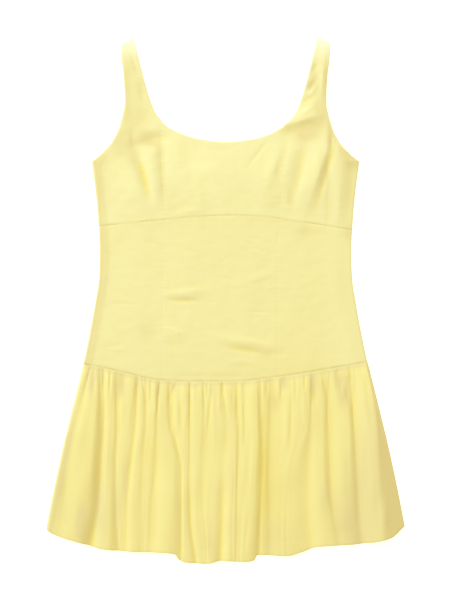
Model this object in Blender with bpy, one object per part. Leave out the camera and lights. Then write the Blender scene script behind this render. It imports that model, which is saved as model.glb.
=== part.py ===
"""A sundress laid flat on its back: scoop bodice with strap, bust and midriff panels, and a gathered skirt.

Lengths are in millimetres until a mesh is made. +X is the wearer's left, +Y points to the straps and +Z points
up, off the surface that the dress lies on. The origin is at the middle of the dress, on that surface.
"""

import math
from bisect import bisect_right

import bmesh
import bpy
from mathutils import Vector

METRES = 0.001

# The cloth
CLOTH = 1.0  # thickness of every wall
SEAM_GAP = 0.3  # between two panels that are sewn edge to edge
LAYER_GAP = 0.3  # between the back of the dress and the front that lies on it
REST = CLOTH + LAYER_GAP  # underside of the front where it lies on the back

# The dress as laid, corner to corner
STRAP_TOP = 423.0
UNDERARM = 222.0
SIDE_WAIST = -102.0
SIDE_HEM = -367.0

# Outline. Half width of the dress at a height, from the hem to the underarm.
SIDE = (
    # height, half width
    (SIDE_HEM, 288.0),
    (-320.0, 279.0),
    (-243.0, 262.7),
    (-166.0, 244.2),
    (SIDE_WAIST, 228.2),
    (-56.0, 218.4),
    (-8.0, 209.7),
    (40.0, 202.9),
    (78.0, 202.0),
    (136.0, 205.0),
    (184.0, 210.0),
    (UNDERARM, 214.8),
)
# Half width from the underarm to the top of the strap.
ARMHOLE = (
    # height, half width
    (UNDERARM, 214.8),
    (228.0, 206.5),
    (236.0, 198.0),
    (253.0, 183.0),
    (282.0, 169.5),
    (320.0, 161.7),
    (359.0, 163.8),
    (397.0, 168.0),
    (STRAP_TOP, 167.0),
)
# Inner edge of each strap, from the scoop to the top of the strap.
STRAP_INNER = (
    # height, half width
    (272.5, 84.4),
    (282.0, 98.6),
    (291.8, 107.3),
    (301.4, 113.3),
    (320.6, 121.3),
    (359.0, 132.4),
    (397.0, 141.8),
    (STRAP_TOP, 147.5),
)
# Lower part of the scoop neckline.
SCOOP = (
    # across, height
    (-107.3, 291.8),
    (-98.6, 282.0),
    (-84.4, 272.5),
    (-72.0, 266.6),
    (-43.0, 257.9),
    (0.0, 252.8),
    (43.0, 257.3),
    (72.0, 266.0),
    (84.4, 272.5),
    (98.6, 282.0),
    (107.3, 291.8),
)
# Curved seam under the bust.
UNDERBUST = (
    # across, height
    (-230.0, 114.5),
    (-203.0, 117.2),
    (-99.0, 127.6),
    (-40.0, 133.0),
    (10.0, 134.6),
    (66.0, 132.6),
    (98.0, 126.8),
    (140.0, 121.4),
    (203.0, 111.2),
    (230.0, 107.0),
)
# Dropped waist seam that the skirt is gathered into.
WAIST = (
    # across, height
    (-228.2, -102.4),
    (-178.0, -113.0),
    (-143.0, -121.2),
    (-111.0, -128.2),
    (-68.0, -130.8),
    (28.0, -130.6),
    (51.0, -127.8),
    (99.0, -121.6),
    (149.0, -113.6),
    (195.0, -105.6),
    (228.2, -99.8),
)
# Seams that run down the front from the neckline to the waist seam.
PRINCESS_RIGHT = (
    # height, across
    (-135.0, -101.5),
    (45.0, -100.5),
    (128.0, -98.0),
    (165.0, -99.0),
    (223.0, -103.5),
    (292.0, -103.0),
)
PRINCESS_LEFT = (
    # height, across
    (-135.0, 83.4),
    (100.0, 84.8),
    (128.0, 87.6),
    (204.0, 90.0),
    (292.0, 94.0),
)
# Lower edge of the front skirt. A broad fold in the middle hangs lowest.
HEM = (
    # across, height
    (-288.0, -367.0),
    (-274.0, -375.4),
    (-222.0, -392.4),
    (-200.0, -399.4),
    (-146.0, -404.4),
    (-95.0, -405.4),
    (-80.5, -408.0),
    (-75.0, -416.6),
    (-57.0, -422.0),
    (-31.0, -423.0),
    (-5.0, -418.4),
    (33.0, -419.8),
    (46.0, -417.4),
    (50.8, -409.4),
    (97.0, -411.2),
    (123.0, -404.8),
    (148.0, -396.0),
    (212.0, -392.0),
    (264.0, -381.2),
    (288.0, -364.0),
)
# The back stays just inside the front, and its neckline and hem are a little shorter.
BACK_INSET = 0.6
BACK_SCOOP_DROP = 5.0
BACK_WAIST = ((-228.2, -102.4), (0.0, -126.0), (228.2, -99.8))
BACK_HEM = ((-287.4, -362.5), (-200.0, -388.0), (0.0, -402.0), (200.0, -385.0), (287.4, -361.0))

# Straps fold over at the top, and the fold slants down to the shoulder side.
STRAP_SLANT = {"left": 9.0, "right": 14.0}
STRAP_FOLD_RADIUS = 0.8

# How far the front floats over the back, by height, away from the sides.
BODICE_LIFT = (
    # height, lift
    (-135.0, 2.8),
    (-95.0, 1.8),
    (0.0, 1.2),
    (110.0, 1.6),
    (185.0, 3.4),
    (255.0, 2.6),
    (310.0, 0.9),
    (STRAP_TOP, 0.3),
)
# The front comes down to the back over these widths at the dress's sides.
SIDE_EASE = 26.0
EDGE_ROUNDING = 3.0  # on the wearer's right
ARMHOLE_EASE = 9.0  # at the armhole on the wearer's left
# Rounded fullness of the bust.
CUPS = (
    # across, height of centre, half width, half height, lift
    (-140.0, 188.0, 46.0, 52.0, 5.2),
    (134.0, 196.0, 48.0, 46.0, 6.5),
    (-14.0, 196.0, 60.0, 44.0, 2.2),
)
# Soft ridges pressed up in the front, each from one point to another.
RIDGES = (
    # start x, start y, end x, end y, half width before and after the line, lift
    (180.0, 297.0, 127.0, 138.0, 6.0, 15.0, 2.6),
    (110.0, 262.0, 93.0, 176.0, 13.0, 8.0, 1.9),
    (182.0, 238.0, 180.0, 116.0, 9.0, 8.0, 1.3),
    (154.0, 299.0, 92.0, 279.0, 7.0, 14.0, 3.4),
    (-102.0, 275.0, -152.0, 262.0, 6.0, 13.0, 1.6),
    (-128.0, 240.0, -104.0, 168.0, 10.0, 10.0, 1.0),
    (-98.0, 262.0, -48.0, 140.0, 12.0, 16.0, 1.0),
    (92.0, 254.0, 62.0, 172.0, 7.0, 14.0, 1.7),
    (-104.0, 8.0, -26.0, 14.0, 6.0, 9.0, 1.5),
    (-22.0, -60.0, 84.0, -76.0, 7.0, 11.0, 1.9),
    (-96.0, -46.0, -62.0, -60.0, 7.0, 8.0, 1.1),
    (34.0, 30.0, 82.0, 44.0, 8.0, 6.0, 0.7),
)
# Sharper troughs, each taking away a share of the lift.
TROUGHS = (
    # start x, start y, end x, end y, half width before and after the line, share
    (188.0, 294.0, 142.0, 135.0, 5.0, 5.0, 0.18),
    (132.0, 264.0, 104.0, 140.0, 8.0, 10.0, 0.24),
    (-147.0, 246.0, -121.0, 158.0, 9.0, 9.0, 0.32),
)

# Skirt. Its folds are ridges between sharp valleys, from the wearer's right side to the left. Each crest and valley
# is a line down the skirt, given by its place across the dress and its height at five levels from the seam down.
FOLD_LEVELS = (0.0, 0.25, 0.5, 0.75, 1.0)
FRONT_FOLDS = (
    # crest across | crest height | valley after it across | valley height | softness of the valley
    (
        (-222.5, -239.0, -254.0, -268.0, -279.5), (5, 9, 12, 13.5, 13.5),
        (-220, -232, -245, -255, -265), (4.9, 8.7, 10.8, 11.2, 11.2), 1.0,
    ),
    (
        (-210.5, -216, -221, -227, -240), (5, 8.2, 11, 12.5, 12.5),
        (-196, -196, -198.5, -201, -213), (1, 1.6, 1.6, 2, 2.5), 0.6,
    ),
    (
        (-185, -185.5, -188, -191.5, -195), (4, 4.2, 5, 6.4, 7.2),
        (-171.5, -172, -176, -178.5, -178), (1.5, 2, 2, 1.8, 0.8), 0.5,
    ),
    (
        (-151, -155, -165, -172, -171), (3.5, 4.5, 4.6, 3.8, 1.6),
        (-142.5, -144, -151.5, -160, -168), (1.2, 2.2, 2, 1.6, 1.3), 0.4,
    ),
    (
        (-137, -135, -143, -151, -153), (2.5, 4, 5, 6.3, 6.2),
        (-127, -127, -132, -133.5, -133.5), (1.5, 3, 3.6, 4.6, 4), 0.5,
    ),
    (
        (-113.5, -117, -121.5, -127, -129), (3, 4, 4.2, 4.7, 4.3),
        (-108, -113, -112, -119, -121), (2, 2.9, 2.9, 3.6, 3.8), 0.4,
    ),
    (
        (-105, -102, -91.5, -92, -95), (2.5, 3.2, 6.5, 9.2, 9.4),
        (-88, -85, -69.5, -69.5, -70.5), (0.5, 1, 2.8, 4, 4.2), 0.4,
    ),
    (
        (-63.5, -62.5, -64, -64, -61.5), (3.2, 4.2, 4.8, 5.6, 5.2),
        (-56, -55.5, -57.5, -56, -46.5), (2.2, 3.2, 3.2, 2.8, 2), 0.3,
    ),
    (
        (-41, -42, -48, -45.5, -39), (4, 5, 4.8, 5.2, 7),
        (-32.5, -33, -37, -34.5, -29.5), (2.6, 3.4, 3.8, 5.3, 7), 0.5,
    ),
    (
        (-13, -13, -16, -21.5, -23), (4, 4.8, 5.2, 6.2, 7),
        (-4, 2.5, -7, -5.5, -8), (3, 4.4, 4.5, 3.6, 3.4), 0.7,
    ),
    (
        (0.5, 8, 10.5, 7, 5.5), (3.5, 5, 7.4, 8.8, 9),
        (18.5, 19, 19.5, 19, 18.5), (1.4, 3.2, 6.2, 7.3, 7.5), 0.3,
    ),
    (
        (44, 44.5, 41.5, 38, 29.5), (4.5, 6.2, 7.6, 8.2, 8.4),
        (57, 58.5, 59, 57, 55), (1.2, 2, 2.2, 2.4, 1.8), 0.4,
    ),
    (
        (59, 62, 61.5, 61.5, 61.5), (1.8, 2.4, 2.8, 3.2, 3),
        (73, 72, 70.5, 70.5, 71), (0.5, 0.7, 0.6, 1.4, 2), 0.5,
    ),
    (
        (128.5, 126, 107, 103, 103), (4.5, 6, 5.5, 4.5, 4.8),
        (138, 138, 133.5, 130.5, 135), (2.8, 3.9, 2.6, 2.6, 2), 0.9,
    ),
    (
        (150, 152, 154, 158, 163), (3.2, 4.6, 6.2, 7.6, 7.4),
        (163.5, 165.5, 167, 171, 182), (1.2, 2, 2.6, 3.8, 5), 0.6,
    ),
    (
        (178, 194, 196, 197, 197), (4, 5.5, 7.4, 6.4, 5.4),
        (201.5, 207.5, 210.5, 213.5, 219), (1.6, 2.4, 2.6, 2.2, 1.8), 0.6,
    ),
)
LAST_CREST = ((222, 236, 244, 247, 254), (6, 10.5, 14, 15.3, 15.3))
ARCH_POWER = 2.8  # a ridge is flat on top and steep near its valleys if this is high
SIDE_ARCH_POWER = 1.3  # for the cloth that turns under at the wearer's left side
EDGE_HEIGHT = 0.6
EDGE_SOFTNESS = 0.05
SOFTNESS_AT_SEAM = 0.3  # share of the valleys' softness that they start with
FOLD_OPENS_BY = 0.45  # share of the length where they have all of it
# Small gathers between them, which die away below the seam.
FRONT_GATHERS = (
    # across at the seam, reach down the skirt as a share of its length, half width, share cut away
    (-219.0, 0.16, 2.4, 0.7),
    (-207.0, 0.20, 2.2, 0.8),
    (-190.5, 0.06, 1.4, 0.8),
    (-185.5, 0.20, 1.8, 0.8),
    (-179.0, 0.10, 1.6, 0.7),
    (-167.0, 0.12, 2.2, 0.7),
    (-162.5, 0.16, 1.8, 0.8),
    (-151.0, 0.09, 1.6, 0.8),
    (-140.0, 0.20, 2.0, 0.8),
    (-132.0, 0.10, 1.6, 0.7),
    (-122.5, 0.12, 1.8, 0.8),
    (-117.5, 0.07, 1.4, 0.8),
    (-111.0, 0.22, 2.2, 0.8),
    (-103.0, 0.10, 1.6, 0.7),
    (-94.5, 0.08, 1.6, 0.8),
    (-81.0, 0.24, 2.2, 0.8),
    (-72.0, 0.30, 2.0, 0.7),
    (-65.0, 0.12, 1.6, 0.8),
    (-51.0, 0.15, 2.0, 0.8),
    (-41.5, 0.35, 2.2, 0.6),
    (-29.0, 0.12, 1.8, 0.8),
    (-23.0, 0.08, 1.4, 0.7),
    (-13.5, 0.16, 2.0, 0.8),
    (1.5, 0.12, 1.8, 0.8),
    (12.0, 0.10, 1.6, 0.8),
    (28.0, 0.35, 1.5, 0.8),
    (36.0, 0.10, 1.6, 0.7),
    (47.0, 0.12, 1.8, 0.8),
    (65.0, 0.09, 1.8, 0.8),
    (77.0, 0.14, 2.4, 0.9),
    (85.5, 0.10, 1.8, 0.7),
    (97.0, 0.12, 2.0, 0.8),
    (105.5, 0.40, 2.2, 0.6),
    (115.0, 0.12, 1.6, 0.8),
    (122.5, 0.16, 2.0, 0.8),
    (129.5, 0.09, 1.6, 0.7),
    (145.0, 0.12, 1.8, 0.9),
    (149.5, 0.08, 1.4, 0.8),
    (157.5, 0.14, 1.8, 0.8),
    (169.0, 0.22, 2.2, 0.8),
    (175.0, 0.10, 1.6, 0.8),
    (184.0, 0.14, 2.0, 0.8),
    (193.0, 0.08, 1.6, 0.8),
    (205.5, 0.16, 1.6, 0.6),
    (213.5, 0.10, 1.6, 0.7),
    (221.5, 0.16, 1.6, 0.7),
)
# How much of the folds' height is there below the seam.
FOLD_GROWTH = (
    # share of the length, share of the height
    (0.0, 0.05),
    (0.02, 0.2),
    (0.06, 0.45),
    (0.13, 0.75),
    (0.25, 0.95),
    (0.4, 1.0),
    (1.0, 1.0),
)
# How far the cloth puffs up between the gathers.
GATHER_PUFF = (
    # share of the length, height
    (0.0, 0.4),
    (0.02, 1.2),
    (0.07, 1.9),
    (0.14, 1.4),
    (0.25, 0.5),
    (0.45, 0.0),
    (1.0, 0.0),
)
ROW_SHARES = (0.0, 0.016, 0.038, 0.068, 0.11, 0.17, 0.26, 0.41, 0.62, 0.82, 1.0)
COLUMN_STEP = 3.1  # greatest step between the front skirt's columns at the seam
LEAST_STEP = 1.2

# The back skirt lies under the front. Its valleys rest flat, and its ridges are pressed low.
BACK_GATHERS = 26
BACK_RIDGE = 2.5
BACK_FLAT_SHARE = 0.3  # share of each gather that lies flat on the surface
BACK_ROWS = (0.0, 0.04, 0.14, 0.4, 0.7, 1.0)
BACK_CLEARANCE = 0.15  # extra room over the slopes of the ridges

COLUMNS_PER_GATHER = 4  # of the back skirt
PANEL_STEP = 12.5  # size of a panel's faces, about

CLOTH_COLOUR = (0.86, 0.77, 0.36, 1.0)
CLOTH_ROUGHNESS = 0.82


def through(rows):
    """A smooth curve through rows of (position, value) that never overshoots them, as a function."""
    places = [row[0] for row in rows]
    values = [row[1] for row in rows]
    spans = [b - a for a, b in zip(places, places[1:])]
    slopes = [(b - a) / span for a, b, span in zip(values, values[1:], spans)]
    tangents = [slopes[0]]
    for before, after in zip(slopes, slopes[1:]):
        level = before * after <= 0
        tangents.append(0.0 if level else 2 * before * after / (before + after))
    tangents.append(slopes[-1])

    def at(place):
        place = min(max(place, places[0]), places[-1])
        i = min(max(bisect_right(places, place) - 1, 0), len(spans) - 1)
        s = (place - places[i]) / spans[i]
        rise = values[i + 1] - values[i]
        bend_in = tangents[i] * spans[i] - rise
        bend_out = rise - tangents[i + 1] * spans[i]
        return values[i] + s * rise + s * (1 - s) * ((1 - s) * bend_in + s * bend_out)

    return at


def ease(share):
    """0 to 1, level at both ends."""
    share = min(max(share, 0.0), 1.0)
    return share * share * (3 - 2 * share)


def blend(a, b, share):
    return a + (b - a) * share


def valley(distance, before, after):
    """1 on a valley's line, falling to 0 on either side of it over its half widths."""
    width = before if distance < 0 else after
    u = abs(distance) / width
    return math.exp(-u * u / (0.35 + u))


side = through(SIDE)
armhole = through(ARMHOLE)
strap_inner = through(STRAP_INNER)
scoop = through(SCOOP)
underbust = through(UNDERBUST)
waist = through(WAIST)
princess_right = through(PRINCESS_RIGHT)
princess_left = through(PRINCESS_LEFT)
hem = through(HEM)
back_waist = through(BACK_WAIST)
back_hem = through(BACK_HEM)
bodice_lift = through(BODICE_LIFT)
fold_growth = through(FOLD_GROWTH)
gather_puff = through(GATHER_PUFF)


def half_width(y):
    """Half the width of the dress at a height."""
    return side(y) if y <= UNDERARM else armhole(y)


def crease(x, y, row):
    """How strongly a crease from one point to another is felt at (x, y), from 0 to 1."""
    x0, y0, x1, y1, before, after = row
    run = Vector((x1 - x0, y1 - y0))
    out = Vector((x - x0, y - y0))
    along = out.dot(run) / run.length_squared
    across = (out.x * run.y - out.y * run.x) / run.length
    width = before if across < 0 else after
    fade = ease(1.6 * min(along, 1 - along) + 0.25)
    return fade * math.exp(-((across / width) ** 2))


def side_hold(x, y):
    """0 where the front meets the back at the dress's sides, rising to 1 inwards: at once on the wearer's right."""
    inside = max(half_width(y) - abs(x), 0.0)
    if x < 0:
        return math.sqrt(min(inside / EDGE_ROUNDING, 1.0))
    wide = blend(SIDE_EASE, ARMHOLE_EASE, ease((y - UNDERARM) / SIDE_EASE))
    return ease(inside / wide)


def bodice_height(x, y):
    """Underside of the front bodice over the surface that the dress lies on."""
    lift = bodice_lift(y)
    for cup_x, cup_y, wide, high, rise in CUPS:
        lift += rise * math.exp(-(((x - cup_x) / wide) ** 2) - ((y - cup_y) / high) ** 2)
    for row in RIDGES:
        lift += row[-1] * crease(x, y, row[:-1])
    for row in TROUGHS:
        lift *= 1 - row[-1] * crease(x, y, row[:-1])
    return REST + lift * side_hold(x, y)


def material():
    """Plain woven cloth."""
    cloth = bpy.data.materials.new("yellow_cloth")
    cloth.use_nodes = True
    shader = cloth.node_tree.nodes["Principled BSDF"]
    shader.inputs["Base Color"].default_value = CLOTH_COLOUR
    shader.inputs["Roughness"].default_value = CLOTH_ROUGHNESS
    shader.inputs["Metallic"].default_value = 0.0
    return cloth


def thickness_directions(points):
    """The way out of the cloth at each point of a grid. At an edge it leans along the edge and never across it, so
    that panels sewn edge to edge stay parallel."""
    last_row, last_column = len(points) - 1, len(points[0]) - 1
    ways = []
    for i, row in enumerate(points):
        ways.append([])
        for j, _ in enumerate(row):
            across = row[min(j + 1, last_column)] - row[max(j - 1, 0)]
            up = points[min(i + 1, last_row)][j] - points[max(i - 1, 0)][j]
            normal = across.cross(up).normalized()
            way = normal.copy()
            if i in (0, last_row):
                way.y = 0.0
            if j in (0, last_column):
                way.x = 0.0
            way.normalize()
            ways[-1].append(way * (CLOTH / max(way.dot(normal), 0.6)))
    return ways


def make_wall(name, cloth, points, ways):
    """A closed cloth wall: points is the grid of its underside, and ways carries each point to the outside."""
    rows, columns = len(points), len(points[0])
    grid = bmesh.new()
    bmesh.ops.create_grid(grid, x_segments=columns - 1, y_segments=rows - 1, size=0.5)
    grid.verts.ensure_lookup_table()
    inner = grid.verts[:]
    outward = {}
    for vertex in inner:
        j = round((vertex.co.x + 0.5) * (columns - 1))
        i = round((vertex.co.y + 0.5) * (rows - 1))
        vertex.co = points[i][j] * METRES
        outward[vertex] = ways[i][j] * METRES
    made = bmesh.ops.extrude_face_region(grid, geom=grid.faces[:], use_keep_orig=True)
    outer = [item for item in made["geom"] if isinstance(item, bmesh.types.BMVert)]
    by_place = {tuple(vertex.co): way for vertex, way in outward.items()}
    for vertex in outer:
        vertex.co += by_place[tuple(vertex.co)]
    bmesh.ops.recalc_face_normals(grid, faces=grid.faces[:])
    return finish(name, cloth, grid)


def finish(name, cloth, grid):
    """Turns a bmesh into a named object."""
    mesh = bpy.data.meshes.new(name)
    grid.to_mesh(mesh)
    grid.free()
    mesh.materials.append(cloth)
    mesh.shade_smooth()
    mesh.set_sharp_from_angle(angle=math.radians(50))
    made = bpy.data.objects.new(name, mesh)
    bpy.context.scene.collection.objects.link(made)
    return made


def between(bottom, top, first, last, u, v):
    """A point inside four edges, each a function of 0 to 1: bottom and top run along u, first and last along v."""
    along = blend(bottom(u), top(u), v) + blend(first(v), last(v), u)
    corners = blend(blend(bottom(0.0), bottom(1.0), u), blend(top(0.0), top(1.0), u), v)
    return along - corners


def shares(count):
    return [i / count for i in range(count + 1)]


def panel_points(edges, columns, rows):
    """Underside of a front bodice panel, as a grid of points."""
    grid = []
    for v in rows:
        flat = [between(*edges, u, v) for u in columns]
        grid.append([Vector((p.x, p.y, bodice_height(p.x, p.y))) for p in flat])
    return grid


def seam_edge(line, inset):
    """The edge of a panel along a seam that runs down the dress, from the height of bottom to the height of top."""

    def between_heights(bottom, top):
        def at(v):
            y = blend(bottom, top, v)
            return Vector((line(y) + inset, y))

        return at

    return between_heights


def make_panel(name, cloth, first, last, bottom, top):
    """A four-sided front panel. first and last are (line, inset) at its sides, bottom and top (curve, inset)."""
    (first_line, first_inset), (last_line, last_inset) = first, last
    (bottom_curve, bottom_inset), (top_curve, top_inset) = bottom, top

    def level(curve, inset):
        """Where a curve across the dress meets the two sides of the panel."""
        ends = []
        for line, side_inset in (first, last):
            x = line(curve(0.0)) + side_inset
            for _ in range(8):
                x = line(curve(x)) + side_inset
            ends.append(x)

        def at(u):
            x = blend(ends[0], ends[1], u)
            return Vector((x, curve(x) + inset))

        return at

    low, high = level(bottom_curve, bottom_inset), level(top_curve, top_inset)
    left = seam_edge(first_line, first_inset)(low(0.0).y, high(0.0).y)
    right = seam_edge(last_line, last_inset)(low(1.0).y, high(1.0).y)
    columns = shares(max(6, round((low(1.0).x - low(0.0).x) / PANEL_STEP)))
    rows = shares(max(8, round((high(0.5).y - low(0.5).y) / PANEL_STEP)))
    points = panel_points((low, high, left, right), columns, rows)
    return make_wall(name, cloth, points, thickness_directions(points))


def strap_end(wearer_side):
    """Where a strap starts to fold over: its corners at the neck and at the shoulder, at positive x."""
    y = STRAP_TOP - CLOTH - STRAP_FOLD_RADIUS
    low = y - STRAP_SLANT[wearer_side]
    return Vector((strap_inner(y), y)), Vector((half_width(low), low))


def make_strap_panel(name, cloth, wearer_side):
    """A side bust panel that carries its shoulder strap, folded over at the top."""
    sign = 1 if wearer_side == "left" else -1
    princess = princess_left if wearer_side == "left" else princess_right
    inset = SEAM_GAP / 2
    junction = STRAP_INNER[1][0] if wearer_side == "right" else STRAP_INNER[1][0] - 3.5
    for _ in range(12):
        junction = scoop(princess(junction))
    neck_end, shoulder_end = strap_end(wearer_side)
    underarm_row, junction_row = 0.36, 0.5

    def inner(v):
        if v <= junction_row:
            foot = underbust(princess(UNDERBUST[2][1])) + inset
            y = blend(foot, junction, v / junction_row)
            return Vector((princess(y) + sign * inset, y))
        y = blend(junction, neck_end.y, (v - junction_row) / (1 - junction_row))
        seam = abs(princess(junction) + sign * inset)
        slack = ease((y - junction) / 8.0)
        return Vector((sign * blend(seam, max(strap_inner(y), seam), slack), y))

    def outer(v):
        if v <= underarm_row:
            foot = underbust(sign * half_width(UNDERBUST[1][1])) + inset
            y = blend(foot, UNDERARM, v / underarm_row)
        else:
            share = (v - underarm_row) / (1 - underarm_row)
            y = blend(UNDERARM, shoulder_end.y, share ** 1.25)
        return Vector((sign * half_width(y), y))

    def bottom(u):
        x = blend(inner(0.0).x, outer(0.0).x, u)
        return Vector((x, underbust(x) + inset))

    def top(u):
        return blend(inner(1.0), outer(1.0), u)

    columns = shares(10)
    low_rows = [share * underarm_row for share in shares(9)]
    middle_rows = [blend(underarm_row, junction_row, share) for share in shares(4)[1:]]
    strap_rows = [blend(junction_row, 1.0, share) for share in shares(12)[1:]]
    points = panel_points((bottom, top, inner, outer), columns, low_rows + middle_rows + strap_rows)
    if sign < 0:
        points = [row[::-1] for row in points]
    ways = thickness_directions(points)
    fold_over(points, ways)
    return make_wall(name, cloth, points, ways)


def fold_over(points, ways):
    """Turns the top of a strap down to the surface, in front of the end of the back's strap."""
    edge = points[-1]
    for point, way in zip(edge, ways[-1]):
        point.z = REST
        way[:] = (0.0, 0.0, CLOTH)
    for turn in (30.0, 60.0, 90.0):
        reach = STRAP_FOLD_RADIUS * math.sin(math.radians(turn))
        drop = STRAP_FOLD_RADIUS * (1 - math.cos(math.radians(turn)))
        out = Vector((0.0, math.sin(math.radians(turn)), math.cos(math.radians(turn))))
        points.append([point + Vector((0.0, reach, -drop)) for point in edge])
        ways.append([out * CLOTH for _ in edge])
    points.append([Vector((point.x, point.y, 0.0)) for point in points[-1]])
    ways.append([Vector((0.0, CLOTH, 0.0)) for _ in edge])


def skirt_side(share):
    """Half width of the skirt, that share of the way down."""
    return side(blend(SIDE_WAIST, SIDE_HEM, share))


def down_skirt(values):
    """A curve down the skirt through its values at the five levels."""
    return through(tuple(zip(FOLD_LEVELS, values)))


def stations():
    """The two sides of the front skirt and every crest and valley between them, in order: (place across, height),
    each a function of the share of the way down."""
    rows = []
    for crest_x, crest_z, valley_x, valley_z, _ in FRONT_FOLDS:
        rows += [(crest_x, crest_z), (valley_x, valley_z)]
    rows.append(LAST_CREST)
    inner = [(down_skirt(across), down_skirt(heights)) for across, heights in rows]

    def edge_height(_):
        return EDGE_HEIGHT

    return [(lambda share: -skirt_side(share), edge_height), *inner, (skirt_side, edge_height)]


STATIONS = stations()
STATION_STARTS = [line(0.0) for line, _ in STATIONS]
SOFTNESS = [EDGE_SOFTNESS, *(row[-1] for row in FRONT_FOLDS), EDGE_SOFTNESS]


def between_stations(seam_x):
    """The number of the station before the cloth that starts at seam_x on the seam, and how far it is to the next."""
    i = min(max(bisect_right(STATION_STARTS, seam_x) - 1, 0), len(STATION_STARTS) - 2)
    return i, (seam_x - STATION_STARTS[i]) / (STATION_STARTS[i + 1] - STATION_STARTS[i])


def skirt_across(seam_x, share):
    """Where the cloth that starts at seam_x on the seam has got to, that share of the way down."""
    i, part = between_stations(seam_x)
    return blend(STATIONS[i][0](share), STATIONS[i + 1][0](share), part)


def front_skirt_rise(seam_x, share):
    """Height of the front skirt's folds over its own base."""
    i, part = between_stations(seam_x)
    foot, crest = STATIONS[i][1](share), STATIONS[i + 1][1](share)
    if i % 2:
        foot, crest, part = crest, foot, 1 - part
    soft = SOFTNESS[(i + 1) // 2] * blend(SOFTNESS_AT_SEAM, 1.0, ease(share / FOLD_OPENS_BY))
    up = part * part * (1 + soft) / (part + soft)
    arch = 1 - (1 - up) ** (ARCH_POWER if i < len(STATIONS) - 2 else SIDE_ARCH_POWER)
    rise = blend(foot, crest, arch) * fold_growth(share) + arch * gather_puff(share)
    x = skirt_across(seam_x, share)
    for gather_x, reach, width, cut in FRONT_GATHERS:
        left = 1 - ease(share / reach)
        if left > 0:
            rise *= 1 - cut * left * valley(x - skirt_across(gather_x, share), width, width)
    return rise


def front_skirt_columns():
    """Where the front skirt's columns start on the seam: on the stations and gathers, and between them."""
    stops = sorted([*STATION_STARTS, *(row[0] for row in FRONT_GATHERS)])
    kept = stops[:1]
    for stop in stops[1:-1]:
        if min(stop - kept[-1], stops[-1] - stop) > LEAST_STEP:
            kept.append(stop)
    kept.append(stops[-1])
    columns = kept[:1]
    for a, b in zip(kept, kept[1:]):
        columns += [blend(a, b, part) for part in shares(math.ceil((b - a) / COLUMN_STEP))[1:]]
    return columns


def make_front_skirt(name, cloth):
    columns = front_skirt_columns()
    points = []
    for share in reversed(ROW_SHARES):
        row = []
        for seam_x in columns:
            x = skirt_across(seam_x, share)
            top_y = waist(seam_x) - SEAM_GAP / 2
            y = blend(top_y, hem(skirt_across(seam_x, 1.0)), share)
            inside = max(skirt_side(share) - abs(x), 0.0)
            held = math.sqrt(min(inside / EDGE_ROUNDING, 1.0))
            base = REST + (BODICE_LIFT[0][1] + BACK_CLEARANCE * share) * ease(inside / SIDE_EASE)
            row.append(Vector((x, y, base + held * front_skirt_rise(seam_x, share))))
        points.append(row)
    return make_wall(name, cloth, points, thickness_directions(points))


def make_back_skirt(name, cloth):
    """The back skirt lies on the surface, gathered like the front and pressed low under it."""
    columns = shares(BACK_GATHERS * COLUMNS_PER_GATHER)
    points = []
    for share in reversed(BACK_ROWS):
        half = side(blend(SIDE_WAIST, SIDE_HEM, share)) - BACK_INSET
        row = []
        for u in columns:
            x = blend(-half, half, u)
            top_y = back_waist(blend(-SIDE[4][1], SIDE[4][1], u)) - SEAM_GAP / 2
            y = blend(top_y, back_hem(blend(BACK_HEM[0][0], BACK_HEM[-1][0], u)), share)
            wander = 0.9 * math.sin(11.0 * u + 1.3) + 0.5 * math.sin(23.0 * u)
            wave = 0.5 - 0.5 * math.cos(2 * math.pi * (BACK_GATHERS * u + wander * share))
            raised = max(0.0, wave - BACK_FLAT_SHARE) / (1 - BACK_FLAT_SHARE)
            grown = ease(share / 0.1) * ease((half - abs(x)) / SIDE_EASE)
            row.append(Vector((x, y, BACK_RIDGE * raised * grown)))
        points.append(row)
    return make_wall(name, cloth, points, thickness_directions(points))


def back_outline():
    """Outline of the back bodice with its straps, anticlockwise from the right end of its waist."""
    half = SIDE[4][1] - BACK_INSET
    seam = [Vector((x, back_waist(x) + SEAM_GAP / 2)) for x in (blend(-half, half, u) for u in shares(16))]
    side_foot = seam[-1].y
    heights = [blend(side_foot, UNDERARM, v) for v in shares(12)[1:]]
    heights += [blend(UNDERARM, STRAP_TOP, v ** 1.3) for v in shares(14)[1:]]
    outline = list(seam)

    def strap(sign, wearer_side):
        neck_end, shoulder_end = strap_end(wearer_side)
        slope = (neck_end.y - shoulder_end.y) / (shoulder_end.x - neck_end.x)
        rise = STRAP_FOLD_RADIUS - LAYER_GAP * math.hypot(1.0, slope) - 0.05
        neck = Vector((sign * (neck_end.x + BACK_INSET), neck_end.y + rise - BACK_INSET * slope))
        tip = Vector((sign * (shoulder_end.x - BACK_INSET), shoulder_end.y + rise + BACK_INSET * slope))
        up = [Vector((sign * (half_width(y) - BACK_INSET), y)) for y in heights if y < tip.y - 3]
        inner = [blend(neck.y, STRAP_INNER[1][0], v) for v in shares(10)[1:]]
        down = [Vector((sign * (strap_inner(y) + BACK_INSET), y)) for y in inner]
        return [*up, tip, neck, *down]

    outline += strap(1, "left")
    edge = STRAP_INNER[1][1] - 4.0
    neck = [Vector((x, scoop(x) - BACK_SCOOP_DROP)) for x in (blend(edge, -edge, u) for u in shares(18))]
    outline += neck
    outline += reversed(strap(-1, "right"))
    return outline


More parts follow.
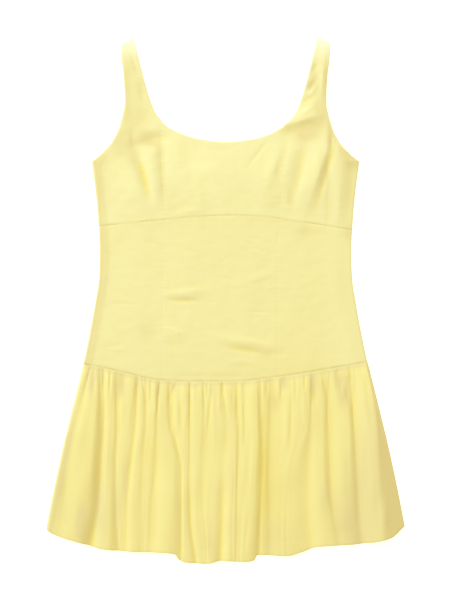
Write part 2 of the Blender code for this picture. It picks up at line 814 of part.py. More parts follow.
def make_back_bodice(name, cloth):
    """The back bodice lies flat on the surface."""
    sheet = bmesh.new()
    face = sheet.faces.new([sheet.verts.new((p.x * METRES, p.y * METRES, 0.0)) for p in back_outline()])
    made = bmesh.ops.extrude_face_region(sheet, geom=[face], use_keep_orig=True)
    raised = [item for item in made["geom"] if isinstance(item, bmesh.types.BMVert)]
    bmesh.ops.translate(sheet, verts=raised, vec=(0.0, 0.0, CLOTH * METRES))
    bmesh.ops.recalc_face_normals(sheet, faces=sheet.faces[:])
    return finish(name, cloth, sheet)


def main():
    for old in list(bpy.data.objects):
        bpy.data.objects.remove(old)
    cloth = material()
    half = SEAM_GAP / 2
    left_side, right_side = side, lambda y: -side(y)
    make_panel(
        "bust_centre", cloth, (princess_right, half), (princess_left, -half), (underbust, half), (scoop, 0.0)
    )
    make_panel(
        "midriff_centre", cloth, (princess_right, half), (princess_left, -half), (waist, half), (underbust, -half)
    )
    make_panel(
        "midriff_side_right", cloth, (right_side, 0.0), (princess_right, -half), (waist, half), (underbust, -half)
    )
    make_panel(
        "midriff_side_left", cloth, (princess_left, half), (left_side, 0.0), (waist, half), (underbust, -half)
    )
    make_strap_panel("bust_side_right", cloth, "right")
    make_strap_panel("bust_side_left", cloth, "left")
    make_front_skirt("skirt_front", cloth)
    make_back_bodice("bodice_back", cloth)
    make_back_skirt("skirt_back", cloth)


main()
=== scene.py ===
"""A yellow linen sundress, laid flat on its back.

Every piece of the dress is a thin sheet of cloth on the form of its solid, or a row of stitches. Lengths are
in millimetres until a mesh is made. +X is the wearer's left, +Y points to the straps and +Z points up, off
the surface that the dress lies on.
"""

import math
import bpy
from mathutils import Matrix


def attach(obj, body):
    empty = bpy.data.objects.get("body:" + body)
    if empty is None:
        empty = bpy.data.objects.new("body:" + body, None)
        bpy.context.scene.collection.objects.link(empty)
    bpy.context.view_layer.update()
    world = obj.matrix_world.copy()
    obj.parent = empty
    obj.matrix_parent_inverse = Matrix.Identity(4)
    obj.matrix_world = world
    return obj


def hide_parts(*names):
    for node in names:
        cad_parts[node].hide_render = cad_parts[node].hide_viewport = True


bl_info = {
    "name": "Laid Sundress",
    "version": (1, 0, 0),
    "blender": (4, 5, 0),
    "location": "3D View > Sidebar > Sundress",
    "description": "A panelled sundress with a gathered skirt, laid flat",
    "category": "Add Mesh",
}

import bmesh
import bpy
import numpy as np
from mathutils import Matrix, Vector, noise

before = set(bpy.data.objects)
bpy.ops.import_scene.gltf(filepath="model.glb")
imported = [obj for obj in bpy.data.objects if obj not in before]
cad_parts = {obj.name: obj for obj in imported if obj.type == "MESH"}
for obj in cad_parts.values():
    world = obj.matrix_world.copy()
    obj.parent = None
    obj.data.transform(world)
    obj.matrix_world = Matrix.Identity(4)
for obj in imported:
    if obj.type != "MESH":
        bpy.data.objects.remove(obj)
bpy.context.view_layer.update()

METRES = 0.001
BODY = "root"
# A patch of cloth is a stack of grids: x, y, z, how much shade is painted in its hollows and elsewhere, and x
# and y in its cut.
Y, Z, CUT_X, CUT_Y = 1, 2, 5, 6
LOOKS = ("fold_shade", "painted_shade")

# The solids that the cloth lies on
WALL = 1.0  # thickness of a solid's wall
REST = 1.3  # underside of the front where it lies on the back
STRAP_TOP = 423.0
UNDERARM = 222.0
SIDE_WAIST = -102.0
SIDE_HEM = -367.0
HALF_WAIST = 228.2

# Outline. Half width of the dress at a height, from the hem to the underarm.
SIDE = (
    # height, half width
    (SIDE_HEM, 288.0),
    (-320.0, 279.0),
    (-243.0, 262.7),
    (-166.0, 244.2),
    (SIDE_WAIST, HALF_WAIST),
    (-56.0, 218.4),
    (-8.0, 209.7),
    (40.0, 202.9),
    (78.0, 202.0),
    (136.0, 205.0),
    (184.0, 210.0),
    (UNDERARM, 214.8),
)
# Half width from the underarm to the top of the strap.
ARMHOLE = (
    # height, half width
    (UNDERARM, 214.8),
    (228.0, 206.5),
    (236.0, 198.0),
    (253.0, 183.0),
    (282.0, 169.5),
    (320.0, 161.7),
    (359.0, 163.8),
    (397.0, 168.0),
    (STRAP_TOP, 167.0),
)
# Inner edge of each strap, from the scoop to the top of the strap.
STRAP_INNER = (
    # height, half width
    (272.5, 84.4),
    (282.0, 98.6),
    (291.8, 107.3),
    (301.4, 113.3),
    (320.6, 121.3),
    (359.0, 132.4),
    (397.0, 141.8),
    (STRAP_TOP, 147.5),
)
# Lower part of the scoop neckline.
SCOOP = (
    # across, height
    (-107.3, 291.8),
    (-98.6, 282.0),
    (-84.4, 272.5),
    (-72.0, 266.6),
    (-43.0, 257.9),
    (0.0, 252.8),
    (43.0, 257.3),
    (72.0, 266.0),
    (84.4, 272.5),
    (98.6, 282.0),
    (107.3, 291.8),
)
# Curved seam under the bust.
UNDERBUST = (
    # across, height
    (-230.0, 114.5),
    (-203.0, 117.2),
    (-99.0, 127.6),
    (-40.0, 133.0),
    (10.0, 134.6),
    (66.0, 132.6),
    (98.0, 126.8),
    (140.0, 121.4),
    (203.0, 111.2),
    (230.0, 107.0),
)
# Dropped waist seam that the skirt is gathered into.
WAIST = (
    # across, height
    (-HALF_WAIST, -102.4),
    (-178.0, -113.0),
    (-143.0, -121.2),
    (-111.0, -128.2),
    (-68.0, -130.8),
    (28.0, -130.6),
    (51.0, -127.8),
    (99.0, -121.6),
    (149.0, -113.6),
    (195.0, -105.6),
    (HALF_WAIST, -99.8),
)
# Seams that run down the front from the neckline to the waist seam.
PRINCESS_RIGHT = (
    # height, across
    (-135.0, -101.5),
    (45.0, -100.5),
    (128.0, -98.0),
    (165.0, -99.0),
    (223.0, -103.5),
    (292.0, -103.0),
)
PRINCESS_LEFT = (
    # height, across
    (-135.0, 83.4),
    (100.0, 84.8),
    (128.0, 87.6),
    (204.0, 90.0),
    (292.0, 94.0),
)
# Lower edge of the front skirt. A broad fold in the middle hangs lowest.
HEM = (
    # across, height
    (-288.0, -367.0),
    (-274.0, -375.4),
    (-222.0, -392.4),
    (-200.0, -399.4),
    (-146.0, -404.4),
    (-95.0, -405.4),
    (-80.5, -408.0),
    (-75.0, -416.6),
    (-57.0, -422.0),
    (-31.0, -423.0),
    (-5.0, -418.4),
    (33.0, -419.8),
    (46.0, -417.4),
    (50.8, -409.4),
    (97.0, -411.2),
    (123.0, -404.8),
    (148.0, -396.0),
    (212.0, -392.0),
    (264.0, -381.2),
    (288.0, -364.0),
)
BACK_INSET = 0.6  # how far the back's edges lie inside the front's
BACK_SCOOP_DROP = 5.0  # how much lower the back's scoop is
BACK_WAIST = ((-HALF_WAIST, -102.4), (0.0, -126.0), (HALF_WAIST, -99.8))
BACK_HEM = ((-287.4, -362.5), (-200.0, -388.0), (0.0, -402.0), (200.0, -385.0), (287.4, -361.0))
BACK_SPLIT = 92.0  # where the back's side strips, with the straps, join its middle
STRIP_WIDTH = 125.0  # of the strips that carry the straps
JUNCTION_EASE = 8.0  # how far over the scoop a strip has narrowed to its strap
ARMHOLE_CROWDING = 1.25  # rows of faces crowd towards the underarm if over 1
NECK_HALF = STRAP_INNER[1][1]  # past this far across, the neckline is the strap's inner edge
PRINCESS_TOP = PRINCESS_LEFT[-1][0]
CROSSING_ROUNDS = 12  # enough to find where two lines meet

STRAP_SLANT = {"left": 9.0, "right": 14.0}  # how much lower a strap ends at the shoulder than at the neck
STRAP_FOLD_RADIUS = 0.8
FOLD_REACH = WALL + STRAP_FOLD_RADIUS
FOLD_FOOT = 0.1  # height of the end of the fold
FOLD_ROWS = 9  # of faces, over the fold at the top of a strap

# How far the front floats over the back, by height, away from the sides.
BODICE_LIFT = (
    # height, lift
    (-135.0, 2.8),
    (-95.0, 1.8),
    (0.0, 1.2),
    (110.0, 1.6),
    (185.0, 3.4),
    (255.0, 2.6),
    (310.0, 0.9),
    (STRAP_TOP, 0.3),
)
WAIST_LIFT = BODICE_LIFT[0][1]
SIDE_EASE = 26.0  # how far in from the sides the front has risen to its lift
ARMHOLE_EASE = 9.0  # and how far in from the armholes
EDGE_ROUNDING = 3.0  # and on the wearer's right, where it rises at once
# How fast a crease grows from its ends, and how much of it is there at an end.
CREASE_FADE, CREASE_END = 1.6, 0.25
CUPS = (
    # across, height of centre, half width, half height, lift
    (-140, 188, 46, 52, 5.2),
    (134, 196, 48, 46, 6.5),
    (-14, 196, 60, 44, 2.2),
)
# Soft ridges pressed up in the front, each from one point to another.
RIDGES = (
    # start x, start y, end x, end y, half width before and after the line, lift
    (180, 297, 127, 138, 6, 15, 2.6),
    (110, 262, 93, 176, 13, 8, 1.9),
    (182, 238, 180, 116, 9, 8, 1.3),
    (154, 299, 92, 279, 7, 14, 3.4),
    (-102, 275, -152, 262, 6, 13, 1.6),
    (-128, 240, -104, 168, 10, 10, 1),
    (-98, 262, -48, 140, 12, 16, 1),
    (92, 254, 62, 172, 7, 14, 1.7),
    (-104, 8, -26, 14, 6, 9, 1.5),
    (-22, -60, 84, -76, 7, 11, 1.9),
    (-96, -46, -62, -60, 7, 8, 1.1),
    (34, 30, 82, 44, 8, 6, 0.7),
)
# Sharper troughs, each taking away a share of the lift.
TROUGHS = (
    # start x, start y, end x, end y, half width before and after the line, share
    (188, 294, 142, 135, 5, 5, 0.18),
    (132, 264, 104, 140, 8, 10, 0.24),
    (-147, 246, -121, 158, 9, 9, 0.32),
)

# Skirt. Its folds are ridges between sharp valleys, from the wearer's right side to the left. Each crest and
# valley is a line down the skirt, given by its place across the dress and its height at five levels from the
# seam down.
FOLD_LEVELS = (0.0, 0.25, 0.5, 0.75, 1.0)
FRONT_FOLDS = (
    # crest across | crest height | valley after it across | valley height | softness of the valley
    (
        (-223.5, -240.5, -258, -273.5, -285.5), (5, 9, 12, 13.5, 13.5),
        (-216.5, -229, -244, -255, -265), (4.4, 8.2, 10.6, 11.2, 11.2), 1.0,
    ),
    (
        (-209.5, -215, -221, -228.5, -243), (5, 8.2, 11, 12.5, 12.5),
        (-194.5, -194.5, -198, -201.5, -214.5), (1, 1.6, 1.6, 2, 2.5), 0.6,
    ),
    (
        (-185, -185.5, -188, -190.5, -193), (4, 4.2, 5, 6.4, 7.2),
        (-171, -171.5, -175.5, -174.5, -171), (2.2, 2.3, 2, 1.8, 1), 0.5,
    ),
    (
        (-148, -154, -164, -168, -165), (3.5, 4.5, 4.4, 2.8, 2),
        (-140, -143.5, -151.5, -158, -160), (1.2, 2.2, 2.2, 2.8, 2.6), 0.4,
    ),
    (
        (-136, -135, -141.5, -148, -149), (2.5, 4, 5, 6.3, 6.2),
        (-127, -127, -132, -133.5, -133.5), (1.5, 3, 3.6, 4.6, 4), 0.5,
    ),
    (
        (-110.5, -115, -121.5, -127, -129), (3, 4, 4.2, 4.7, 4.3),
        (-105.5, -109.5, -112, -119, -121), (2, 2.9, 2.9, 3.6, 3.8), 0.4,
    ),
    (
        (-102, -99.5, -88.5, -88.5, -91), (2.5, 3.2, 6.5, 9.2, 9.4),
        (-88, -85, -69.5, -69.5, -70.5), (0.5, 1, 2.8, 4, 4.2), 0.4,
    ),
    (
        (-61.5, -61, -62.5, -64, -61.5), (3.2, 4.2, 4.8, 5.6, 5.2),
        (-57.5, -57, -57.5, -56, -46.5), (2.5, 3.5, 3.4, 2.8, 2), 0.3,
    ),
    (
        (-39.5, -40.5, -47, -45.5, -39), (4.6, 5.7, 5, 5.4, 6.2),
        (-33.5, -34.5, -37.5, -34.5, -29.5), (3.7, 4.8, 4.2, 5.8, 6.9), 0.5,
    ),
    (
        (-12, -12, -15, -23, -25), (4.2, 5.8, 6.2, 6.8, 7.9),
        (-4, 2.5, -5, -5.5, -8), (3, 5.5, 5.9, 3.8, 3.4), 0.7,
    ),
    (
        (0.5, 9, 12, 9, 8), (3.5, 5.2, 7.8, 9, 9),
        (18.5, 21.5, 21, 19.5, 18.5), (1.4, 3.2, 6, 7.3, 7.5), 0.3,
    ),
    (
        (45.5, 48.5, 46.5, 41, 32), (4.5, 6.6, 8.2, 8.4, 8.4),
        (57, 58.5, 59, 57, 55), (1.8, 3.2, 3.4, 2.8, 1.8), 0.4,
    ),
    (
        (59, 62, 61.5, 61.5, 61.5), (1.8, 2.4, 2.8, 3.2, 3),
        (73, 72, 70.5, 70.5, 71), (0.5, 0.7, 0.6, 1.4, 2), 0.5,
    ),
    (
        (131, 130.5, 110, 104, 103), (4.5, 6, 5.5, 4.5, 4.8),
        (138.5, 138, 133.5, 130.5, 135), (4.4, 5.3, 3.2, 2.6, 2), 0.9,
    ),
    (
        (150, 152, 154, 158, 163), (3.2, 4.6, 6.2, 7.6, 7.4),
        (163.5, 165.5, 167, 171, 182), (1.2, 2, 2.6, 3.8, 5), 0.6,
    ),
    (
        (178, 194, 197, 197, 197), (4, 5.5, 7, 6.2, 5.4),
        (197.5, 204.5, 209.5, 213.5, 219), (1.6, 2.6, 3.4, 2.6, 1.8), 0.6,
    ),
)
# The last crest, before the wearer's left side: across | height
LAST_CREST = ((225.5, 239, 244.5, 247, 254), (6, 10.5, 14, 15.4, 15.4))
ARCH_POWER = 2.8  # a ridge is flat on top and steep near its valleys if this is high
SIDE_ARCH_POWER = 1.3  # for the cloth that turns under at the wearer's left side
EDGE_HEIGHT = 0.6  # of the folds, at the skirt's two sides
EDGE_SOFTNESS = 0.05
SEAM_SOFTNESS = 0.3  # the share of a valley's softness that it has at the waist seam
FEWEST_FACES = 3  # from a crest to the next valley
ROW_CROWDING = 1.15  # rows of faces crowd towards the waist seam if over 1
# Small gathers at the seam, each a crease of its own. A lift under 0 is a trough.
GATHERS = (
    # start x, start y, end x, end y, half width before and after the line, lift
    # wearer's right
    (-213.5, -97, -233, -173.5, 2.5, 2.5, -0.4),
    (-212, -93.5, -210.5, -154.5, 5, 5, -2.6),
    (-201.5, -100, -199, -167, 1.8, 4.2, -2.4),
    (-199, -154.5, -201, -212, 2, 4, -1),
    (-196, -97, -196, -154.5, 1.6, 2, -2.2),
    (-187, -100, -191, -167, 2.4, 8, 1),
    (-183.5, -103, -185.5, -148, 1.3, 1.3, -0.8),
    (-179, -103, -181, -157.5, 1.5, 3.5, 0.7),
    (-174.5, -103, -174.5, -234.5, 1.4, 1.6, -1),
    (-164, -148, -166.5, -202.5, 3, 5, 1),
    (-162.5, -106.5, -164, -161, 5, 5, -1.8),
    (-149, -109.5, -153, -154.5, 1.6, 8, 0.4),
    (-146.5, -157.5, -150.5, -209, 2, 2.4, -0.6),
    (-141.5, -109.5, -145.5, -167, 2, 2.4, -0.9),
    (-137.5, -113, -137.5, -157.5, 3, 3, -1),
    (-135, -116, -129, -154.5, 1.4, 1.6, -1.2),
    (-123, -116, -124, -161, 1.6, 2.4, 1.2),
    (-120, -117.5, -119, -170.5, 1.2, 1.4, -1.4),
    (-112.5, -117.5, -112, -188, 1.6, 3.4, 0.6),
    (-109.5, -177, -116, -212, 2, 2, -0.4),
    (-108.5, -122.5, -109, -186.5, 1.4, 2, -0.4),
    (-105, -119, -103, -167, 2, 3, -1.2),
    (-91, -183, -87, -215, 2, 2.4, -1),
    (-90.5, -122.5, -90.5, -193, 1.6, 2.2, -1.2),
    # middle
    (-81.5, -202.5, -71, -260, 4, 4, -1.2),
    (-78.5, -148, -76, -218.5, 2.4, 7, 1.2),
    (-77.5, -129, -90.5, -164, 2.2, 2.2, -1.6),
    (-73.5, -151, -69.5, -215, 1.4, 2, -1.4),
    (-65.5, -122.5, -64, -169, 2.4, 5, 1.2),
    (-63, -157.5, -63, -212, 1.8, 3, 0.8),
    (-57.5, -122.5, -57.5, -234.5, 1.2, 1.4, -0.4),
    (-49.5, -129, -50.5, -165.5, 2, 4, 1),
    (-35.5, -122.5, -35.5, -172, 1.4, 1.8, -0.9),
    (-32, -122.5, -32, -159, 1.4, 2, 1),
    (-29, -125.5, -29, -154.5, 1, 1.2, -0.9),
    (-27, -154.5, -29, -215, 2, 4, 0.8),
    (-25, -122.5, -25.5, -159, 1.4, 2, 1),
    (-22.5, -145, -29, -221.5, 1.8, 3, -2),
    (-10.5, -151, -9, -185, 2, 4, 0.9),
    (-4, -125.5, -5, -161, 3, 3, -1.4),
    (11.5, -141.5, 11.5, -169, 1.2, 1.4, -1),
    (18, -138.5, 18, -201, 1.6, 1.8, -1),
    (25, -124, 24, -162.5, 1.6, 5, 1.2),
    (25.5, -154.5, 25.5, -212, 1.8, 3, 0.3),
    (29.5, -122.5, 29.5, -241, 9, 1.5, -2.1),
    (44, -122.5, 45.5, -212, 3, 10, 0.8),
    (53.5, -129, 55.5, -218.5, 1.6, 2.2, -1),
    # wearer's left
    (66.5, -125.5, 66.5, -157.5, 2.5, 2.5, -1.6),
    (74.5, -135, 89, -183, 8, 5, -1.7),
    (85.5, -116, 87, -164, 1.8, 7, 1.8),
    (90, -116, 89.5, -165.5, 1.4, 2, -1),
    (94.5, -113, 95, -149.5, 2.5, 2.5, -1.6),
    (99, -148, 97, -241, 2.5, 5, 1.3),
    (105.5, -141.5, 104, -244, 2.5, 1.8, -1),
    (109.5, -117.5, 109.5, -164, 1.2, 1.8, 0.9),
    (112, -119, 112.5, -159, 1, 1.2, -0.9),
    (115.5, -119, 116, -162.5, 1.2, 1.6, 0.8),
    (124, -138.5, 129.5, -202.5, 3, 5, 1.1),
    (127, -116, 127, -145, 1.4, 1.8, -1.8),
    (138, -141.5, 137.5, -199, 2, 2.4, -0.4),
    (143, -113, 143, -173.5, 5, 4, -2),
    (155, -116, 161.5, -154.5, 1.4, 1.8, -1.2),
    (163, -135, 163.5, -218.5, 1.6, 2.2, -0.8),
    (164, -103, 164.5, -149.5, 1.4, 2.4, 1.2),
    (178.5, -100, 183, -154.5, 5, 5, -2),
    (185, -119, 185, -148, 5, 2, -1.2),
    (188, -129, 199, -167, 4, 5, -1.3),
    (195, -106.5, 200, -130.5, 1.5, 7, 1.3),
    (203, -148, 206.5, -218.5, 2, 2.6, -0.9),
    (204.5, -98.5, 205.5, -154.5, 1.6, 3, 0.6),
    (207, -100, 208, -154.5, 1.2, 1.4, -0.5),
    (221.5, -103, 223, -186.5, 3, 8, 0.5),
    (253, -308, 256, -370.5, 6, 8, 2.2),
)
# How much of the folds' height is there below the seam, and how far the cloth puffs up between the gathers.
FOLD_GROWTH = ((0.0, 0.05), (0.02, 0.2), (0.06, 0.45), (0.13, 0.75), (0.25, 0.95), (0.4, 1.0), (1.0, 1.0))
GATHER_PUFF = ((0.0, 0.4), (0.02, 1.2), (0.07, 1.9), (0.14, 1.4), (0.25, 0.5), (0.45, 0.0), (1.0, 0.0))
GATHERS_FROM = 5.0  # how far under the seam the gathers have opened
FOLD_OPENS_BY = 0.45
FOLD_CLEARANCE = 0.15  # how much higher the front floats over the back at its hem than at the seam
BACK_GATHERS = 26
BACK_RIDGE = 2.5
BACK_FLAT_SHARE = 0.3  # the share of each gather that lies flat on the surface
BACK_GROWN_BY = 0.1  # the share of the way down at which the back's gathers have their full height
# How the back's gathers drift on their way down: by how many gathers, how often across the dress, from where.
BACK_DRIFT = ((0.9, 11.0, 1.3), (0.5, 23.0, 0.0))
BACK_TOP = 0.8  # upper face of the back where it lies flat
SKIRT_LENGTH = 265.0  # from its seam to its hem at the sides

# Cloth that leans over a valley from the wearer's left: which valley, counted from 0, and how far.
FOLD_LEANS = ((6, 2.5), (11, 1.2))
LEAN_FROM, LEAN_WIDTH = 6.0, 4.5  # the part that leans: how far it is from the valley, and its half width
# Soft unevenness, from noise. Each pattern number is a place in it.
DRAPE_SIZE, DRAPE_LENGTH, DRAPE_PATTERN = 7.0, 75.0, 13.5  # lengthwise ripples between the skirt's folds
PATCH_SIZE, PATCH_LENGTH, PATCH_PATTERN = 24.0, 44.0, 31.5  # wider patches of the skirt
PATCH_HEIGHT, PATCHES_FROM = 0.9, 0.3  # the latter as a share of the way down
SOFT_BUMPS = (
    # of the bodice: size across, size along, slant, height, pattern
    (34.0, 46.0, 0.0, 1.0, 1.5),
    (16.0, 13.0, 0.0, 0.6, 7.5),
    (15.0, 7.0, 0.4, 0.28, 21.5),
)

# Finer creases of the front bodice. A lift under 0 is a trough.
FINE_CREASES = (
    # start x, start y, end x, end y, half width before and after the line, lift
    # straps
    (-153, 394, -139, 362, 3, 3, -1.1),
    (-138, 350, -129, 316, 4, 5, -1),
    (148, 380, 139, 362, 4, 4.5, -1),
    (158, 392, 155, 318, 6, 9, 1.6),
    (147, 356, 131, 331, 3.5, 7, -1.8),
    (137, 330, 149, 344, 2.5, 2.5, 0.5),
    (122, 317, 147, 329, 4, 5, -1),
    (118, 296, 147, 314, 5, 5, 0.9),
    # right side of the bust
    (-153, 318, -147, 284, 8, 6, -0.5),
    (-101, 264, -101, 160, 7, 8, -1.2),
    (-152, 276, -147, 244, 9, 4, -1.4),
    (-152, 246, -94, 263, 6, 10, -1.7),
    (-182, 243, -150, 229, 4, 4, 0.5),
    (-190, 248, -210, 222, 6, 6, -1.2),
    (-77, 264, -74, 214, 13, 10, 1.1),
    (-76, 204, 10, 208, 15, 14, 1),
    (-88, 137, -30, 146, 5, 5, 0.7),
    (-138, 228, -118, 156, 5, 8, -2.2),
    (-52, 208, -38, 138, 8, 18, 0.8),
    # left side of the bust
    (90, 266, 150, 276, 9, 7, -1),
    (184, 252, 212, 222, 8, 8, -1.6),
    (174, 280, 167.5, 236, 2.5, 4.5, -1.4),
    (69, 256, 30, 205, 3, 4, -0.6),
    (165, 202, 164, 116, 4, 4, -0.5),
    (204, 242, 202, 116, 10, 12, -0.4),
    # midriff
    (-99, -0.5, -34, -2.5, 4, 4, -1),
    (-34, -3.6, -13, -4.2, 1.4, 1.4, -0.3),
    (-7, -75.5, 80, -89, 6, 5, -1.3),
    (62, -84, 104, -88, 5, 5, -0.5),
    (-2, -98, 58, -103, 6, 6, 0.8),
    (-99, -69, -69, -77, 6, 6, -0.8),
    (-106, -44, -79, -49, 2, 2.5, 0.5),
    (-82, -52, -72, -56, 2, 2, 0.4),
    (22, -20, 73, -20.5, 2.2, 2.2, -0.4),
    (37, 24, 79, 32, 4, 4, -0.3),
    (-17, 20, 82, 31, 6, 6, 0.4),
    (66, 19, 81, 20, 2, 2, 0.4),
    (30, 93, 50, 85, 2, 2, -0.35),
    (43, 84, 67, 75, 2, 2.2, -0.4),
    (38, 99, 60, 97, 1.8, 2, -0.3),
    (-12, 60, 8, 66, 3, 3, -0.3),
    (-8, 34.5, 14, 33, 1.6, 1.8, -0.3),
    (-64, 80, -46, 74, 3, 3, -0.35),
    (-110, 92, -98, 80, 3, 3, -0.3),
    (-186, -5, -136, -8.5, 2.4, 2.4, -0.4),
    (-192, -79, -164, -81, 2.6, 3, 0.6),
    (-177, -72, -162, -73.5, 1.6, 1.6, -0.3),
    (-137, -40, -120, -76, 8, 8, -0.7),
    (-98, -125, 58, -125, 6, 8, -0.9),
    (178, 84, 176, -16, 14, 16, 0.9),
    (116, 108, 154, 98, 7, 7, -0.6),
)
# Soft creases of the back, which lift off the surface.
BACK_CREASES = (
    # start x, start y, end x, end y, half width before and after the line, lift
    (-120, 240, -60, 150, 7, 5, 0.7),
    (128, 232, 78, 160, 5, 7, 0.7),
    (-60, 205, 40, 212, 6, 8, 0.6),
    (-150, 30, -50, 22, 4, 6, 0.55),
    (20, 8, 130, 16, 6, 4, 0.55),
    (-90, -50, 10, -62, 5, 6, 0.6),
    (60, -70, 150, -58, 6, 4, 0.6),
    (-20, 96, 70, 84, 5, 5, 0.5),
)

# Sewing
SEAM_ALLOWANCE = 10.0
CROSS_SEAM_DIP, LONG_SEAM_DIP, SEAM_WIDTH = 0.65, 0.14, 1.6  # seams across the dress, and seams down it
PUCKER_HEIGHT, PUCKER_LENGTH, PUCKER_REACH = 0.09, 7.0, 6.0
PUCKER_DRIFT, PUCKER_TURN = 23.0, 4.0  # the length over which puckers drift, and how far, in radians
UNDERBUST_PATTERN, LEFT_PATTERN, RIGHT_PATTERN = 3.5, 5.5, 9.5  # of the puckers along each seam
PRINCESS_FADE = 6.0  # how far under the neckline the princess seams have sunk in
HEM_DEPTH = 20.0
HEM_STEP, HEM_RAMP = 0.15, 2.0  # how much the turned-up hem stands proud, and over what length
HEM_LINE = 1.4  # half width of the groove that its stitches press in
STITCH_LENGTH, STITCH_GAP, STITCH_THICKNESS = 2.6, 0.8, 0.45
STITCH_SIDES, STITCH_RINGS = 4, 6
JOIN = 0.01  # edges of patches this near to each other are one edge
ROLL_WIDTH, ROLL_DROP = 2.4, 0.68  # how the cloth rounds off at a finished edge
# A point this far under its surroundings, this far around, gets painted shade. The skirt's reach is in faces.
HOLLOW_REACH, HOLLOW_DEPTH = 9.0, 1.3
SKIRT_HOLLOW_REACH, SKIRT_HOLLOW_DEPTH = 5, 1.8
SKIRT_HOLLOW_FROM = 14.0  # how far in from its sides the shade painted in the skirt's hollows shows in full
SKIRT_FOLD_SHADE = 0.5  # shade of the folds painted over all of the gathered cloth
# Painted shade along the dress's sides, where the cloth rounds off and the side seams' allowances lie inside
# it: how much darker the cloth is painted there, on the wearer's right and left.
EDGE_SHADES = (
    # 1 on the wearer's left or -1 on the right, width, amount
    (-1, 15.0, 0.5),
    (-1, 4.5, 0.5),
    (1, 4.0, 0.3),
)
SKIRT_EDGE_SHADES = ((-1, 11.0, 0.9), (1, 4.0, 1.0))
EDGE_SHADE_FADE = 0.6  # the share of its width over which an edge's painted shade fades
EDGE_SHADE_ABOVE = 20.0  # how far over the underarm the bodice's painted edge shade has ended
SKIRT_EDGE_FROM = 0.3  # the share of the way down at which the painted edge shade on the wearer's right shows in full
SKIRT_SHADE = 0.25  # painted shade over all of the gathered cloth
# The skirt turns under along a line on the wearer's left, and shade is painted on the cloth beyond it: its
# place across at the five levels, how dark that painted shade is, and how wide.
TURN_LINE, TURN_SHADE, TURN_WIDTH = (226.0, 240.0, 245.5, 246.0, 252.0), 0.8, 5.0
# Spots of painted shade on the skirt, where its folds and gathers fall in shade; under 0 they paint it
# lighter.
SKIRT_SHADES = (
    # across, height, half width, half height, painted fold shade, painted shade
    # just under the waist seam
    (-238, -165, 9, 34, 0, -0.6),
    (-217, -140, 5, 20, 0, 0.5),
    (-214, -122, 7, 18, 0, 0.8),
    (-208, -115, 7, 12, 0, 0.6),
    (-197.5, -127, 3, 16, 0, 0.7),
    (-166, -138, 8, 20, 0.1, 0.9),
    (-140, -135, 4, 18, 0, 0.7),
    (-107, -142, 5, 16, 0, 0.7),
    (-82, -139, 5, 11, 0.1, 0.8),
    (-52, -136, 6, 6, 0, 0.9),
    (-23, -146, 5, 12, 0, 0.6),
    (80, -166, 9, 14, 0.2, 0.5),
    (95.5, -133, 6, 10, 0.1, 0.9),
    (140, -137, 12, 20, 0.4, 0),
    (142, -133, 8, 22, 0.2, 0.9),
    (180, -125, 10, 14, 0.1, 0.6),
    (188, -150, 8, 18, 0.1, 1),
    (226, -129, 9, 28, 0, -0.6),
    # lower down
    (-262, -300, 10, 50, 0, 0.4),
    (-233, -372, 7, 14, 0, 0.6),
    (-232, -352, 7, 24, 0, 0.8),
    (-226, -342, 6, 16, 0, 0.5),
    (-201, -337, 9, 45, -0.3, 0.8),
    (-197, -250, 4, 70, 0, 0.35),
    (-177, -256, 14, 32, 0, 0.15),
    (-174, -325, 5, 45, 0, 0.7),
    (-161, -297, 5, 36, 0, 0.6),
    (-121, -240, 14, 30, 0.2, 0),
    (-114, -349, 4, 50, 0, 0.3),
    (-24, -394, 10, 22, 0, 0.5),
    (60, -275, 9, 90, 0.6, 0),
    (76, -320, 16, 80, 0.4, 0.3),
    (80, -385, 34, 30, 0, 0.3),
    (159, -313, 8, 26, 0, 0.5),
    (186, -360, 14, 34, 0, 0.4),
    (204, -350, 30, 70, 0, 0.5),
    (213, -330, 6, 60, 0, 0.35),
    (224, -380, 12, 16, 0, 0.6),
    (230, -290, 24, 110, -0.25, 0.7),
)
